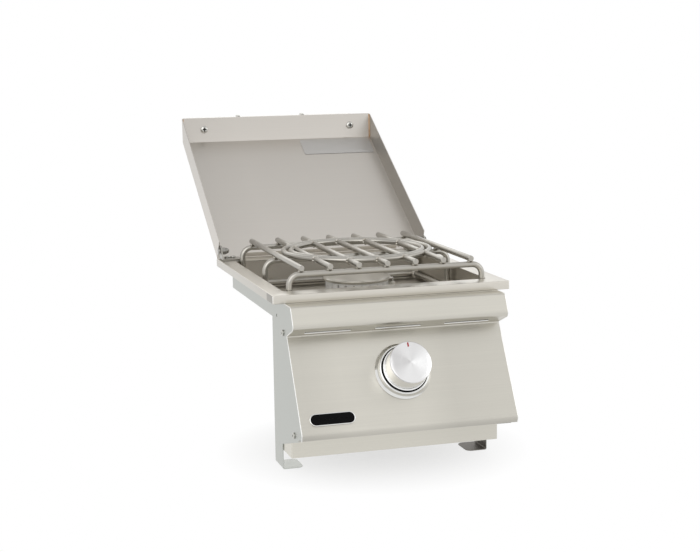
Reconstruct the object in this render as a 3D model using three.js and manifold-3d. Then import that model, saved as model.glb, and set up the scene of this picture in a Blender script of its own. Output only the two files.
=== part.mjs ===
// Built-in side burner: a sheet-metal box that drops into a counter cut-out and hangs by its rim,
// with a pan burner under a rod grate, a folded front panel with one gas valve, and a hinged lid.
// Millimetres. X runs to the right, Y to the back, Z up.
// Working frame: x 0 at mid-width, y 0 at the rim's front face, z 0 at the rim's top face.
// The exported group moves that frame so that its origin lies on the rear rest face of the rim.

import * as THREE from 'three';
import { mergeVertices } from 'three/addons/utils/BufferGeometryUtils.js';
import Module from 'manifold-3d';

const wasm = await Module();
wasm.setup();

// Stock and fits
const sheet = 1.2;
const seatGap = 0.3;
const runningGap = 0.3;
const overrun = 3;
const rodDiameter = 8;
const rodRadius = rodDiameter / 2;

// Rim
const rimWidth = 330;
const rimDepth = 355;
const skirtHeight = 11.5;
const hemDepth = 8;
const rimCornerRadius = 3;
const rimEdgeRadius = 1.4;
const rimSideLand = 21.5;
const rimFrontLand = 29.8;
const rimRearLand = 36.5;
const openingWidth = rimWidth - rimSideLand * 2;
const openingFront = rimFrontLand;
const openingBack = rimDepth - rimRearLand;
const openingCornerRadius = 6;

// Pan
const panWall = 1;
const panLip = 0.4;
const panDepth = 41;
const panHalfWidth = openingWidth / 2 + panLip;
const panFront = openingFront - panLip;
const panBack = openingBack + panLip;
const panTop = -sheet - seatGap;
const panFloor = -panDepth;

// Centre of the grate's rings in the opening
const grateSet = 0.85;
const grateCentre = (openingFront + openingBack) / 2 + grateSet;

// Box below the rim
const plateHalfWidth = panHalfWidth + panWall + seatGap + sheet;
const plateInner = plateHalfWidth - sheet;
const rearSpace = 7.9;
const boxDepth = panBack + panWall + rearSpace;
const boxBottom = -41.1;
const legRear = 79.2;
const legWidth = 41.4;
const legFront = legRear - legWidth;
const footLevel = -243;
const footLength = 29;
const footCornerRadius = 8;
const footBendRadius = 2.4;
const footBendRise = 12;
const legEdgeStart = -207.8;
const plateEdgeSlope = -0.281;
const plateHoleRadius = 2.2;
const plateHolePlace = [54.2, -35.8];

// Fascia: corners of the outer face, from the rear of its top flange round the nose and down
const fasciaLap = 1.3;
const fasciaHalfWidth = plateHalfWidth + fasciaLap;
const noseTop = -12.4;
const noseRear = panFront - panWall - seatGap;
const noseFront = -24;
const noseTip = [-38, -39.6];
const foldPlace = [-2.5, -53.7];
const panelFoot = [-70.3, -170];
const returnBend = [-68.5, -177.5];
const returnEnd = [-50, -182.4];
const noseTopRadius = 4;
const noseTipRadius = 7;
const foldRadius = 2;
const panelFootRadius = 5;
const returnRadius = 2;
const slotEndLand = 20.45;
const slotBridge = 33.5;
const slotWidth = 6;
const slotShare = 0.58;
const slotShares = [-1, 0, 1];
const slotSpan = (fasciaHalfWidth - slotEndLand - slotBridge) * 2;
const slotLength = slotSpan / slotShares.length;
const slotPitch = slotLength + slotBridge;
const cleatThickness = 2;
const cleatWidth = 18;
const cleatRise = 18;
const screwUpper = [21.1, -53.5];
const screwLower = [-27.3, -179.9];

// Apron between the legs
const apronFront = -5;
const apronBottom = -216.7;
const apronTop = -174;
const apronBendRadius = 2;

// Control
const knobPlace = 60;
const bezelRadius = 38;
const bezelInnerRadius = 31.3;
const bezelHeight = 11;
const bezelCrestRadius = 34.2;
const bezelEdge = 2.2;
const bezelShares = [0.72, 0.96, 0.7];
const knobRadius = 28;
const knobSkirtRadius = 30.1;
const knobFace = 40;
const knobEdge = 1;
const knobFloat = 5.5;
const knobWall = 3;
const knobHubRadius = 8;
const knobTravel = 4;
const indexWidth = 2;
const indexLength = 6;
const indexThickness = 0.5;
const indexInset = 0.4;
const stemRadius = 4;
const stemFlat = 2.6;
const stemTop = 30;
const stemInner = 24;
const stemHoleRadius = 6;
const bracketStand = 11.7;
const bracketThickness = 2;
const bracketHalfWidth = 30;
const bracketFlange = 14;
const bracketDepth = 30;
const bracketBendRadius = 3;
const valveRadius = 15;
const valveLength = 45;
const plugRadius = 7;
const plugLength = 30;
const plugCollar = 1;
const portRadius = 8;
const portReach = 22;
const portDepth = 40;
const spudRadius = 7;
const spudStart = -8;
const spudEnd = 18;
const igniterWidth = 14;
const igniterHeight = 16;
const igniterLength = 30;
const terminalRadius = 2.6;
const terminalLength = 7;

// Nameplate
const plateLength = 61;
const plateHeight = 16.8;
const plateThickness = 2.2;
const plateInset = 12.7;
const plateLeft = plateInset - fasciaHalfWidth;
const platePlace = 115.4;
const plateRimWidth = 1.4;
const plateRecess = 0.6;

// Gas way
const gasLevel = -112;
const orificeRadius = 5;
const orificeThread = 3.4;
const orificeLength = 10;
const orificeTip = 4;
const venturiFront = 24;
const venturiRadius = 16.2;
const venturiWall = 1.2;
const venturiBend = 38;
const venturiEndWall = 1.5;
const windowLength = 12;
const windowWidth = 16;
const windowInset = 5;
const shutterWall = 1.2;
const shutterLength = 20;
const pipeRadius = 4.8;
const pipeWall = 1;
const pipeTurn = 70;
const pipeBend = 20;
const pipeEnd = 95;
const fittingHexRadius = 10;
const fittingHexLength = 12;
const fittingNeckRadius = 7.5;
const fittingLength = 30;
const fittingBore = 3;

// Burner
const burnerSet = 7;
const burnerPlace = grateCentre - burnerSet;
const drumRadius = 45;
const baseLap = 1;
const baseRadius = drumRadius + baseLap;
const baseThickness = 2.5;
const earLength = 13;
const earReach = drumRadius + earLength;
const earWidth = 16;
const spigotRadius = 14.6;
const spigotWall = 2;
const spigotLength = 20;
const drumWall = 4;
const drumTop = -14;
const portHeight = 5;
const portWidth = 2.4;
const portCount = 24;
const portDrop = 1.6;
const capLap = 3.5;
const capRadius = drumRadius + capLap;
const capEdge = -10.2;
const capTop = -8.4;
const capEdgeRound = 1.2;
const capSkirt = 5;
const capDome = 0.8;

// Ignition
const electrodeBeside = 15;
const electrodeBehind = 18;
const electrodeX = drumRadius + electrodeBeside;
const electrodeY = burnerPlace + electrodeBehind;
const insulatorRadius = 3.2;
const insulatorTop = -22;
const insulatorBottom = -52;
const insulatorCollar = 4.6;
const electrodeRadius = 1.1;
const electrodeReach = 12;
const electrodeRise = 5;
const clampWidth = 14;
const clampLength = 20;
const clampRise = 9;
const wireRadius = 1.6;

// Grate
const grateShift = 2;
const grateLevel = 28.4;
const rodFrontLap = 1.2;
const rodRearLap = 2.5;
const rodFront = openingFront + rodFrontLap;
const rodBack = openingBack + rodRearLap;
const supportSideRoom = 7.9;
const supportHalfWidth = openingWidth / 2 - supportSideRoom;
const supportBend = 14;
const supportFrontRoom = 5.2;
const supportRearRoom = 6;
const supportSet = 6;
const supportFront = openingFront + supportFrontRoom;
const supportMiddle = grateCentre - supportSet;
const supportRear = openingBack - supportRearRoom;
const railLevel = -33.7;
const ringSideRoom = 31.8;
const outerRingRadius = supportHalfWidth - ringSideRoom;
const ringGap = 2.6;
const innerRingRadius = outerRingRadius - rodDiameter - ringGap;
const pitchShare = 0.426;
const gratePitch = innerRingRadius * pitchShare;
const innerBarShares = [-2, -1, 0, 1, 2];
const outerBarShare = 3;

// Lid
const lidInset = 1.6;
const lidHalfWidth = rimWidth / 2 - lidInset;
const lidDepth = 34;
const lidClearance = 0.6;
const pivotInset = 15.1;
const pivotPlace = rimDepth - pivotInset;
const pivotLevel = 13.4;
const lidRearSet = 6.4;
const lidFoldPlace = 28.3;
const lidLength = pivotPlace - lidRearSet - lidFoldPlace;
const lidFrontSlant = 22.3;
const lidRearFlange = 10;
const lidRearNotch = 41.4;
const lidRearFlangeHalfWidth = lidHalfWidth - lidRearNotch;
const lidOpenAngle = 148.45;
const boltRadius = 3;
const boltHeadRadius = 5.5;
const boltHeadHeight = 1.7;
const nutAcrossFlats = 10;
const nutHeight = 6;
const nutDomeHeight = 5.6;
const nutDomeShares = [[0.46, 0], [0.44, 0.4], [0.32, 0.8], [0.15, 1]];
const hingeThickness = 2;
const hingeEarRadius = 8.5;
const hingeFootWidth = 30;
const hingeFootLength = 25.5;
const hingeFootInset = 4.5;
const hingeFootBack = rimDepth - hingeFootInset;
const hingeFootFront = hingeFootBack - hingeFootLength;
const hingeScrewRear = 5.5;
const hingeScrewPlace = hingeFootBack - hingeScrewRear;
const hingeScrewInset = 11.3;
const hingeScrewPitch = 9.2;

// Handle
const handleHeight = 55;
const handleAlong = 26.4;
const handleRadius = 14;
const handleOverhang = 19.5;
const collarRadius = 17;
const collarPlace = 56.5;
const collarWidth = 5;
const handleEndRound = 2;
const postInset = 36.9;
const postPlace = lidHalfWidth - postInset;
const handleHalfLength = postPlace + handleOverhang;
const postAlong = 21.4;
const postRadius = 9;

// Data plate
const labelInset = 5.4;
const labelLength = 122;
const labelWidth = 42;
const labelEdge = 4.2;
const labelRight = lidHalfWidth - labelInset;
const labelLeft = labelRight - labelLength;
const labelFront = lidLength - labelEdge;
const labelRear = labelFront - labelWidth;
const labelThickness = 0.3;

// Screws
const screwHeadRadius = 4.2;
const screwHeadHeight = 2.4;
const screwRadius = 2;
const screwLength = 9;
const crownShares = [0.82, 0.86];
const recessRadius = 1.8;
const recessWidth = 0.9;
const recessDepth = 1.1;
const handleScrewHeadRadius = 6;
const handleScrewHeadHeight = 3.4;
const handleScrewLength = 24;
const handleScrewRadius = 2.5;
const burnerScrewLength = 10;

// Facets
const bendSteps = 3;
const rodSides = 8;
const wireSides = 8;
const ringSteps = 40;
const turnSteps = 24;
const smallSteps = 10;

const finish = (color, roughness, metalness) => new THREE.MeshStandardMaterial({ color, roughness, metalness });
const materials = {
  brushed: finish(0xc9c6bc, 0.38, 1),
  side: finish(0xc6cac9, 0.36, 1),
  pan: finish(0x8b857c, 0.45, 1),
  rod: finish(0xb9b5ac, 0.35, 1),
  polished: finish(0xdcdcda, 0.12, 1),
  black: finish(0x101010, 0.3, 0),
  red: finish(0xb01818, 0.4, 0),
  brass: finish(0xb08d4a, 0.3, 1),
  cast: finish(0x77736c, 0.55, 0.8),
  ceramic: finish(0xe8e4d8, 0.4, 0),
  rubber: finish(0x1a1a1a, 0.7, 0),
  foil: finish(0xb8b6b4, 0.5, 0.6),
};

const axisX = new THREE.Vector3(1, 0, 0);
const axisY = new THREE.Vector3(0, 1, 0);
const axisZ = new THREE.Vector3(0, 0, 1);
const toRadians = THREE.MathUtils.degToRad;

// Solids: closed geometry in and out of the joiner and cutter
function toSolid(geometry) {
  const bare = geometry.clone();
  bare.deleteAttribute('normal');
  bare.deleteAttribute('uv');
  const merged = mergeVertices(bare);
  return new wasm.Manifold(new wasm.Mesh({
    numProp: 3,
    vertProperties: new Float32Array(merged.attributes.position.array),
    triVerts: new Uint32Array(merged.index.array),
  }));
}

function toGeometry(solid) {
  const mesh = solid.getMesh();
  const geometry = new THREE.BufferGeometry();
  geometry.setAttribute('position', new THREE.BufferAttribute(new Float32Array(mesh.vertProperties), 3));
  geometry.setIndex(new THREE.BufferAttribute(new Uint32Array(mesh.triVerts), 1));
  geometry.computeVertexNormals();
  return geometry;
}

function join(...solids) {
  return solids.reduce((whole, next) => whole.add(next));
}

function cut(solid, ...tools) {
  return tools.reduce((rest, tool) => rest.subtract(tool), solid);
}

function piece(name, shape, material) {
  const geometry = shape.isBufferGeometry ? shape : toGeometry(shape);
  const mesh = new THREE.Mesh(geometry, material);
  mesh.name = name;
  return mesh;
}

function placed(geometry, x, y, z) {
  return geometry.translate(x, y, z);
}

// A box between two corners
function boxBetween(low, high) {
  const size = high.map((value, i) => value - low[i]);
  const centre = high.map((value, i) => (value + low[i]) / 2);
  return placed(new THREE.BoxGeometry(...size), ...centre);
}

// A cylinder that stands on z = low and reaches z = high
function rodAlongZ(radius, low, high, sides = smallSteps) {
  const geometry = new THREE.CylinderGeometry(radius, radius, high - low, sides);
  return geometry.rotateX(Math.PI / 2).translate(0, 0, (low + high) / 2);
}

// The same rod with its length along +X or +Y
function rodAlongX(radius, low, high, sides = smallSteps) {
  return rodAlongZ(radius, low, high, sides).rotateY(Math.PI / 2);
}

function rodAlongY(radius, low, high, sides = smallSteps) {
  return rodAlongZ(radius, low, high, sides).rotateX(-Math.PI / 2);
}

// A turned solid about Z from [radius, height] pairs that start and end on the axis or close
function turned(profile, steps = turnSteps) {
  const points = profile.map(([r, z]) => new THREE.Vector2(r, z));
  return new THREE.LatheGeometry(points, steps).rotateX(Math.PI / 2);
}

function rectangle(x0, y0, x1, y1, radius) {
  const shape = new THREE.Shape();
  shape.moveTo(x0 + radius, y0);
  shape.lineTo(x1 - radius, y0);
  shape.absarc(x1 - radius, y0 + radius, radius, -Math.PI / 2, 0);
  shape.lineTo(x1, y1 - radius);
  shape.absarc(x1 - radius, y1 - radius, radius, 0, Math.PI / 2);
  shape.lineTo(x0 + radius, y1);
  shape.absarc(x0 + radius, y1 - radius, radius, Math.PI / 2, Math.PI);
  shape.lineTo(x0, y0 + radius);
  shape.absarc(x0 + radius, y0 + radius, radius, Math.PI, Math.PI * 3 / 2);
  return shape;
}

// A flat outline raised from z = low to z = high
function raised(shape, low, high) {
  const options = { depth: high - low, bevelEnabled: false, curveSegments: bendSteps };
  return new THREE.ExtrudeGeometry(shape, options).translate(0, 0, low);
}

// An outline in (y, z) raised along X
const towardX = new THREE.Matrix4().makeBasis(axisY, axisZ, axisX);
function acrossX(shape, low, high) {
  return raised(shape, low, high).applyMatrix4(towardX);
}

function outline(points) {
  return new THREE.Shape(points.map(([a, b]) => new THREE.Vector2(a, b)));
}

// The line at a distance to the left of a bent line whose corners are [a, b, radius]
function offsetLine(corners, distance) {
  const points = corners.map(([a, b]) => new THREE.Vector2(a, b));
  const left = (from, to) => {
    const way = to.clone().sub(from).normalize();
    return new THREE.Vector2(-way.y, way.x);
  };
  const last = points.length - 1;
  const line = [points[0].clone().addScaledVector(left(points[0], points[1]), distance)];
  for (let i = 1; i < last; i += 1) {
    const before = left(points[i - 1], points[i]);
    const after = left(points[i], points[i + 1]);
    const turn = Math.sign(before.cross(after));
    const radius = corners[i][2];
    const half = before.angleTo(after) / 2;
    const middle = before.clone().add(after).normalize();
    const centre = points[i].clone().addScaledVector(middle, turn * radius / Math.cos(half));
    for (let k = 0; k <= bendSteps; k += 1) {
      const share = k / bendSteps;
      const ray = before.clone().rotateAround(new THREE.Vector2(), turn * 2 * half * share);
      line.push(centre.clone().addScaledVector(ray, distance - turn * radius));
    }
  }
  line.push(points[last].clone().addScaledVector(left(points[last - 1], points[last]), distance));
  return line;
}

// The section of a bent sheet that lies to the left of its corner line
function bentSheet(corners, thickness) {
  return new THREE.Shape([...offsetLine(corners, 0), ...offsetLine(corners, thickness).reverse()]);
}

// A route of straight runs joined by round bends, for rods, tubes and wires
class BentRoute extends THREE.Curve {
  constructor(corners, bendRadius, steps = bendSteps) {
    super();
    const points = corners.map((place) => new THREE.Vector3(...place));
    this.stations = [points[0]];
    this.ways = [points[1].clone().sub(points[0]).normalize()];
    for (let i = 1; i < points.length - 1; i += 1) {
      this.addBend(points[i - 1], points[i], points[i + 1], bendRadius, steps);
    }
    this.stations.push(points.at(-1));
    this.ways.push(points.at(-1).clone().sub(points.at(-2)).normalize());
    this.runs = this.stations.length - 1;
  }

  addBend(from, corner, to, bendRadius, steps) {
    const before = corner.clone().sub(from).normalize();
    const after = to.clone().sub(corner).normalize();
    const angle = before.angleTo(after);
    const axis = before.clone().cross(after).normalize();
    const start = corner.clone().addScaledVector(before, -bendRadius * Math.tan(angle / 2));
    const centre = start.clone().addScaledVector(axis.clone().cross(before), bendRadius);
    for (let k = 0; k <= steps; k += 1) {
      const turn = angle * k / steps;
      const ray = start.clone().sub(centre).applyAxisAngle(axis, turn);
      this.stations.push(centre.clone().add(ray));
      this.ways.push(before.clone().applyAxisAngle(axis, turn));
    }
  }

  getPointAt(u) {
    return this.stations[Math.round(u * this.runs)].clone();
  }

  getTangentAt(u) {
    return this.ways[Math.round(u * this.runs)].clone();
  }
}

function circleShape(radius, sides) {
  const points = [];
  for (let i = 0; i < sides; i += 1) {
    const angle = Math.PI * 2 * i / sides;
    points.push(new THREE.Vector2(Math.cos(angle) * radius, Math.sin(angle) * radius));
  }
  return new THREE.Shape(points);
}

function along(route, radius, sides = rodSides) {
  const options = { steps: route.runs, extrudePath: route };
  return new THREE.ExtrudeGeometry(circleShape(radius, sides), options);
}

// A pan-head screw on +Z: the head stands on z = 0 and the shank goes down
function screw(headRadius, headHeight, radius, length) {
  const profile = [
    [0, -length],
    [radius, -length],
    [radius, 0],
    [headRadius, 0],
    [headRadius, headHeight / 2],
    [headRadius * crownShares[0], headHeight * crownShares[1]],
    [headRadius / 2, headHeight],
    [0, headHeight],
  ];
  const low = headHeight - recessDepth;
  const high = headHeight + overrun;
  const arm = boxBetween([-recessRadius, -recessWidth / 2, low], [recessRadius, recessWidth / 2, high]);
  const crossArm = arm.clone().rotateZ(Math.PI / 2);
  return cut(toSolid(turned(profile, smallSteps)), toSolid(arm), toSolid(crossArm));
}

const shortScrew = toGeometry(screw(screwHeadRadius, screwHeadHeight, screwRadius, screwLength));

// A screw set at a place, with its head toward a direction
function screwAt(name, geometry, place, direction, material) {
  const mesh = piece(name, geometry, material);
  mesh.position.set(...place);
  mesh.quaternion.setFromUnitVectors(axisZ, direction);
  return mesh;
}

const clearHole = screwRadius + runningGap;

// Rim: top sheet, skirt and the hem turned in under it
function topRim() {
  const half = rimWidth / 2;
  const plan = rectangle(-half, 0, half, rimDepth, rimCornerRadius);
  const crown = new THREE.ExtrudeGeometry(plan, {
    depth: skirtHeight,
    bevelThickness: rimEdgeRadius,
    bevelSize: rimEdgeRadius,
    bevelOffset: -rimEdgeRadius,
    bevelSegments: 2,
    curveSegments: bendSteps,
  }).translate(0, 0, -skirtHeight - rimEdgeRadius);
  const belowHem = boxBetween(
    [-rimWidth, -rimDepth, -skirtHeight - overrun],
    [rimWidth, rimDepth * 2, -skirtHeight],
  );
  const inner = rectangle(sheet - half, sheet, half - sheet, rimDepth - sheet, rimCornerRadius);
  const hem = rectangle(hemDepth - half, hemDepth, half - hemDepth, rimDepth - hemDepth, rimCornerRadius);
  const opening = rectangle(-openingWidth / 2, openingFront, openingWidth / 2, openingBack, openingCornerRadius);
  const holes = hingeScrewPlaces().map(([x]) => {
    const hole = rodAlongZ(clearHole, -skirtHeight, overrun);
    return toSolid(placed(hole, x, hingeScrewPlace, 0));
  });
  return cut(
    toSolid(crown),
    toSolid(belowHem),
    toSolid(raised(inner, sheet - skirtHeight, -sheet)),
    toSolid(raised(hem, -skirtHeight - overrun, -sheet)),
    toSolid(raised(opening, -skirtHeight - overrun, overrun)),
    ...holes,
  );
}

function hingeScrewPlaces() {
  const outer = lidHalfWidth - sheet - seatGap - hingeScrewInset;
  const inner = outer - hingeScrewPitch;
  return [
    [-outer, 'hinge_screw_left_outer'],
    [-inner, 'hinge_screw_left_inner'],
    [outer, 'hinge_screw_right_outer'],
    [inner, 'hinge_screw_right_inner'],
  ];
}

const earScrewX = earReach - earWidth / 2;

// Pan with holes for the burner's spigot, its two screws and the electrode
function burnerPan() {
  const outerHalf = panHalfWidth + panWall;
  const cornerRadius = openingCornerRadius + panLip;
  const outer = rectangle(-outerHalf, panFront - panWall, outerHalf, panBack + panWall, cornerRadius + panWall);
  const inner = rectangle(-panHalfWidth, panFront, panHalfWidth, panBack, cornerRadius);
  const through = (radius, x, y) => toSolid(placed(
    rodAlongZ(radius, panFloor - panWall - overrun, panFloor + overrun, turnSteps / 2),
    x,
    y,
    0,
  ));
  return cut(
    toSolid(raised(outer, panFloor - panWall, panTop)),
    toSolid(raised(inner, panFloor, panTop + overrun)),
    through(spigotRadius + runningGap, 0, burnerPlace),
    through(clearHole, -earScrewX, burnerPlace),
    through(clearHole, earScrewX, burnerPlace),
    through(insulatorRadius + runningGap, electrodeX, electrodeY),
  );
}

// Outer line of the fascia, front to back corners with their bend radii
const fasciaCorners = [
  [noseRear, noseTop, 0],
  [noseFront, noseTop, noseTopRadius],
  [...noseTip, noseTipRadius],
  [...foldPlace, foldRadius],
  [...panelFoot, panelFootRadius],
  [...returnBend, returnRadius],
  [...returnEnd, 0],
];

// Side plate, drawn for the right side: arm, leg and a slanted front that follows the fascia
function sidePlate() {
  const frontLine = offsetLine(fasciaCorners, sheet + seatGap).map((point) => [point.x, point.y]);
  const edgeAt = (y) => legEdgeStart + plateEdgeSlope * (y - legFront);
  const frontTop = noseRear + seatGap;
  const frontEnd = returnEnd[0] + seatGap;
  const face = outline([
    [frontTop, panTop],
    ...frontLine,
    [frontEnd, edgeAt(frontEnd)],
    [legFront, legEdgeStart],
    [legFront, footLevel + footBendRise],
    [legRear, footLevel + footBendRise],
    [legRear, boxBottom],
    [boxDepth, boxBottom],
    [boxDepth, panTop],
  ]);
  const web = acrossX(face, plateInner, plateHalfWidth);
  const footLine = [
    [plateHalfWidth, footLevel + footBendRise, 0],
    [plateHalfWidth, footLevel, footBendRadius],
    [plateHalfWidth - footLength, footLevel, 0],
  ];
  const towardY = new THREE.Matrix4().makeBasis(axisX, axisZ, axisY.clone().negate());
  const footBlock = raised(bentSheet([...footLine].reverse(), sheet), 0, legWidth);
  const foot = toSolid(footBlock.applyMatrix4(towardY).translate(0, legRear, 0));
  const plan = rectangle(
    plateHalfWidth - footLength,
    legFront,
    plateHalfWidth + footLength,
    legRear,
    footCornerRadius,
  );
  const rounded = toSolid(raised(plan, footLevel - overrun, 0)).intersect(foot);
  const upright = boxBetween(
    [plateInner, legFront, footLevel + footBendRadius],
    [plateHalfWidth, legRear, footLevel + footBendRise],
  );
  const holeAt = ([y, z], radius) => {
    const hole = rodAlongX(radius, plateInner - overrun, plateHalfWidth + overrun);
    return toSolid(placed(hole, 0, y, z));
  };
  return cut(
    join(toSolid(web), rounded, toSolid(upright)),
    holeAt(plateHolePlace, plateHoleRadius),
    holeAt(screwUpper, clearHole),
    holeAt(screwLower, clearHole),
  );
}

function mirrored(solid) {
  return solid.mirror([1, 0, 0]);
}

// Panel directions: down along the panel and outward from it
const panelDown = new THREE.Vector2(...panelFoot).sub(new THREE.Vector2(...foldPlace)).normalize();
const panelOut = new THREE.Vector3(0, panelDown.y, -panelDown.x);
const panelUp = new THREE.Vector3(0, -panelDown.x, -panelDown.y);

function panelPoint(x, distance) {
  return new THREE.Vector3(
    x,
    foldPlace[0] + panelDown.x * distance,
    foldPlace[1] + panelDown.y * distance,
  );
}

// A group on the panel: x across, y up the panel, z outward
function panelGroup(x, distance) {
  const group = new THREE.Group();
  group.position.copy(panelPoint(x, distance));
  group.quaternion.setFromRotationMatrix(new THREE.Matrix4().makeBasis(axisX, panelUp, panelOut));
  return group;
}

// Fascia: one bent sheet with three slots under its nose, a stem hole and four cleats inside
function fasciaPanel() {
  const skin = toSolid(acrossX(bentSheet(fasciaCorners, sheet), -fasciaHalfWidth, fasciaHalfWidth));
  const tip = new THREE.Vector2(...noseTip);
  const fold = new THREE.Vector2(...foldPlace);
  const slotPlace = tip.clone().lerp(fold, slotShare);
  const slope = fold.clone().sub(tip).angle();
  const slots = slotShares.map((share) => {
    const slot = new THREE.BoxGeometry(slotLength, slotWidth, overrun * 2).rotateX(slope);
    return toSolid(placed(slot, share * slotPitch, slotPlace.x, slotPlace.y));
  });
  const stemHole = rodAlongZ(stemHoleRadius, -overrun, overrun, turnSteps / 2);
  const knobAxis = panelGroup(0, knobPlace);
  knobAxis.updateMatrix();
  const upper = [
    [screwUpper[0] - cleatWidth / 2, noseTop - sheet / 2],
    [screwUpper[0] - cleatWidth / 2, screwUpper[1] - cleatWidth / 2],
    [screwUpper[0] + cleatWidth / 3, screwUpper[1] - cleatWidth / 2],
    [screwUpper[0] + cleatWidth / 3, noseTop - sheet / 2],
  ];
  const lower = [
    [returnBend[0] + cleatWidth, returnBend[1] + cleatRise],
    [returnEnd[0] - cleatWidth / 2, returnEnd[1] + sheet * 2],
    [returnEnd[0] - sheet, returnEnd[1] + sheet / 2],
    [screwLower[0] + cleatWidth / 2, screwLower[1] - cleatWidth / 3],
    [screwLower[0] + cleatWidth / 2, screwLower[1] + cleatRise],
  ];
  const cleatOuter = plateInner - seatGap;
  const cleats = [];
  [upper, lower].forEach((points) => {
    const cleat = toSolid(acrossX(outline(points), cleatOuter - cleatThickness, cleatOuter));
    cleats.push(cleat, mirrored(cleat));
  });
  const holes = [];
  [screwUpper, screwLower].forEach(([y, z]) => {
    const hole = toSolid(placed(rodAlongX(clearHole, plateInner - cleatWidth, plateHalfWidth), 0, y, z));
    holes.push(hole, mirrored(hole));
  });
  const opened = cut(skin, ...slots, toSolid(stemHole.applyMatrix4(knobAxis.matrix)));
  return cut(join(opened, ...cleats), ...holes);
}

// Apron: a sheet bent back along both legs
function lowerApron() {
  const half = plateInner - seatGap;
  const line = [
    [half, legRear, 0],
    [half, apronFront, apronBendRadius],
    [-half, apronFront, apronBendRadius],
    [-half, legRear, 0],
  ];
  return toSolid(raised(bentSheet(line, -sheet), apronBottom, apronTop));
}

function rearPanel() {
  const half = plateInner - seatGap;
  return boxBetween([-half, boxDepth - sheet, boxBottom], [half, boxDepth, panTop]);
}

// Nameplate: a blank pill with a raised rim
function nameplate() {
  const pill = (inset) => rectangle(
    inset - plateLength / 2,
    inset - plateHeight / 2,
    plateLength / 2 - inset,
    plateHeight / 2 - inset,
    plateHeight / 2 - inset,
  );
  const body = toSolid(raised(pill(0), seatGap, seatGap + plateThickness));
  const field = raised(pill(plateRimWidth), seatGap + plateThickness - plateRecess, plateThickness + overrun);
  return cut(body, toSolid(field));
}

function knobBezel() {
  return turned([
    [bezelInnerRadius, seatGap],
    [bezelRadius, seatGap],
    [bezelRadius, bezelEdge],
    [(bezelRadius + bezelCrestRadius) / 2, bezelHeight * bezelShares[0]],
    [bezelCrestRadius, bezelHeight],
    [(bezelInnerRadius + bezelCrestRadius) / 2, bezelHeight * bezelShares[1]],
    [bezelInnerRadius, bezelHeight * bezelShares[2]],
    [bezelInnerRadius, seatGap],
  ]);
}

// Knob: a hollow cap that widens toward the panel, with a hub on the stem
function knobBody() {
  const ceiling = knobFace - knobWall;
  const hubEnd = knobFloat + knobWall;
  const profile = [
    [0, hubEnd],
    [knobHubRadius, hubEnd],
    [knobHubRadius, ceiling],
    [knobRadius - knobWall, ceiling],
    [knobRadius - knobWall, knobFloat],
    [knobSkirtRadius, knobFloat],
    [knobRadius, knobFace - knobEdge],
    [knobRadius - knobEdge, knobFace],
    [0, knobFace],
  ];
  const bore = rodAlongZ(stemRadius + seatGap, knobFloat - overrun, stemTop + seatGap);
  return cut(toSolid(turned(profile)), toSolid(bore));
}

function indexMark() {
  const high = knobRadius - knobEdge - indexInset;
  const base = knobFace + seatGap;
  return boxBetween(
    [-indexWidth / 2, high - indexLength, base],
    [indexWidth / 2, high, base + indexThickness],
  );
}

function valveStem() {
  const shaft = toSolid(rodAlongZ(stemRadius, -stemInner, stemTop, turnSteps / 2));
  const flat = boxBetween(
    [-stemRadius * 2, stemFlat, knobFloat],
    [stemRadius * 2, stemRadius * 2, stemTop + overrun],
  );
  return cut(shaft, toSolid(flat));
}

const bodyFront = -bracketStand - seatGap;

// Plug: turns in the valve body, hollow for the stem that slides in it
function valvePlug() {
  const top = bodyFront - plugCollar;
  const shaft = toSolid(rodAlongZ(plugRadius, top - plugLength, top, turnSteps / 2));
  const bore = rodAlongZ(stemRadius + runningGap, -stemInner - knobTravel - seatGap, top + overrun, turnSteps / 2);
  return cut(shaft, toSolid(bore));
}

// The knob's frame seen from the appliance, to carry shapes between the two
function inKnobFrame(geometry) {
  const group = panelGroup(0, knobPlace);
  group.updateMatrix();
  return geometry.applyMatrix4(group.matrix.clone().invert());
}

// Valve body: a turned block with an inlet boss to the right and an outlet spud to the back
function valveBody() {
  const block = toSolid(rodAlongZ(valveRadius, bodyFront - valveLength, bodyFront, turnSteps / 2));
  const boss = rodAlongX(portRadius, 0, portReach, turnSteps / 2).translate(0, 0, -portDepth);
  const spud = rodAlongY(spudRadius, spudStart, spudEnd, turnSteps / 2).translate(0, 0, gasLevel);
  const spudBore = rodAlongY(orificeThread + runningGap, spudEnd - orificeTip, spudEnd + overrun);
  const bossBore = rodAlongX(pipeRadius - pipeWall, portReach - orificeLength, portReach + overrun);
  const floor = bodyFront - plugCollar - plugLength - seatGap;
  const bore = rodAlongZ(plugRadius + runningGap, floor, overrun, turnSteps / 2);
  return cut(
    join(block, toSolid(boss), toSolid(inKnobFrame(spud))),
    toSolid(bore),
    toSolid(inKnobFrame(spudBore.translate(0, 0, gasLevel))),
    toSolid(bossBore.translate(0, 0, -portDepth)),
  );
}

// Bracket behind the panel: a hat section that carries the valve and the igniter
function valveBracket() {
  const back = -sheet - seatGap;
  const line = [
    [-bracketHalfWidth - bracketFlange, back, 0],
    [-bracketHalfWidth, back, bracketBendRadius],
    [-bracketHalfWidth, -bracketStand + bracketThickness, bracketBendRadius],
    [bracketHalfWidth, -bracketStand + bracketThickness, bracketBendRadius],
    [bracketHalfWidth, back, bracketBendRadius],
    [bracketHalfWidth + bracketFlange, back, 0],
  ];
  const section = raised(bentSheet(line, -bracketThickness), -bracketDepth / 2, bracketDepth / 2);
  const upright = new THREE.Matrix4().makeBasis(axisX, axisZ, axisY.clone().negate());
  const hole = rodAlongZ(stemRadius + runningGap * 4, -bracketStand - overrun, overrun, turnSteps / 2);
  return cut(toSolid(section.applyMatrix4(upright)), toSolid(hole));
}

const igniterX = -valveRadius - runningGap * 2 - igniterWidth / 2;

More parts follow.
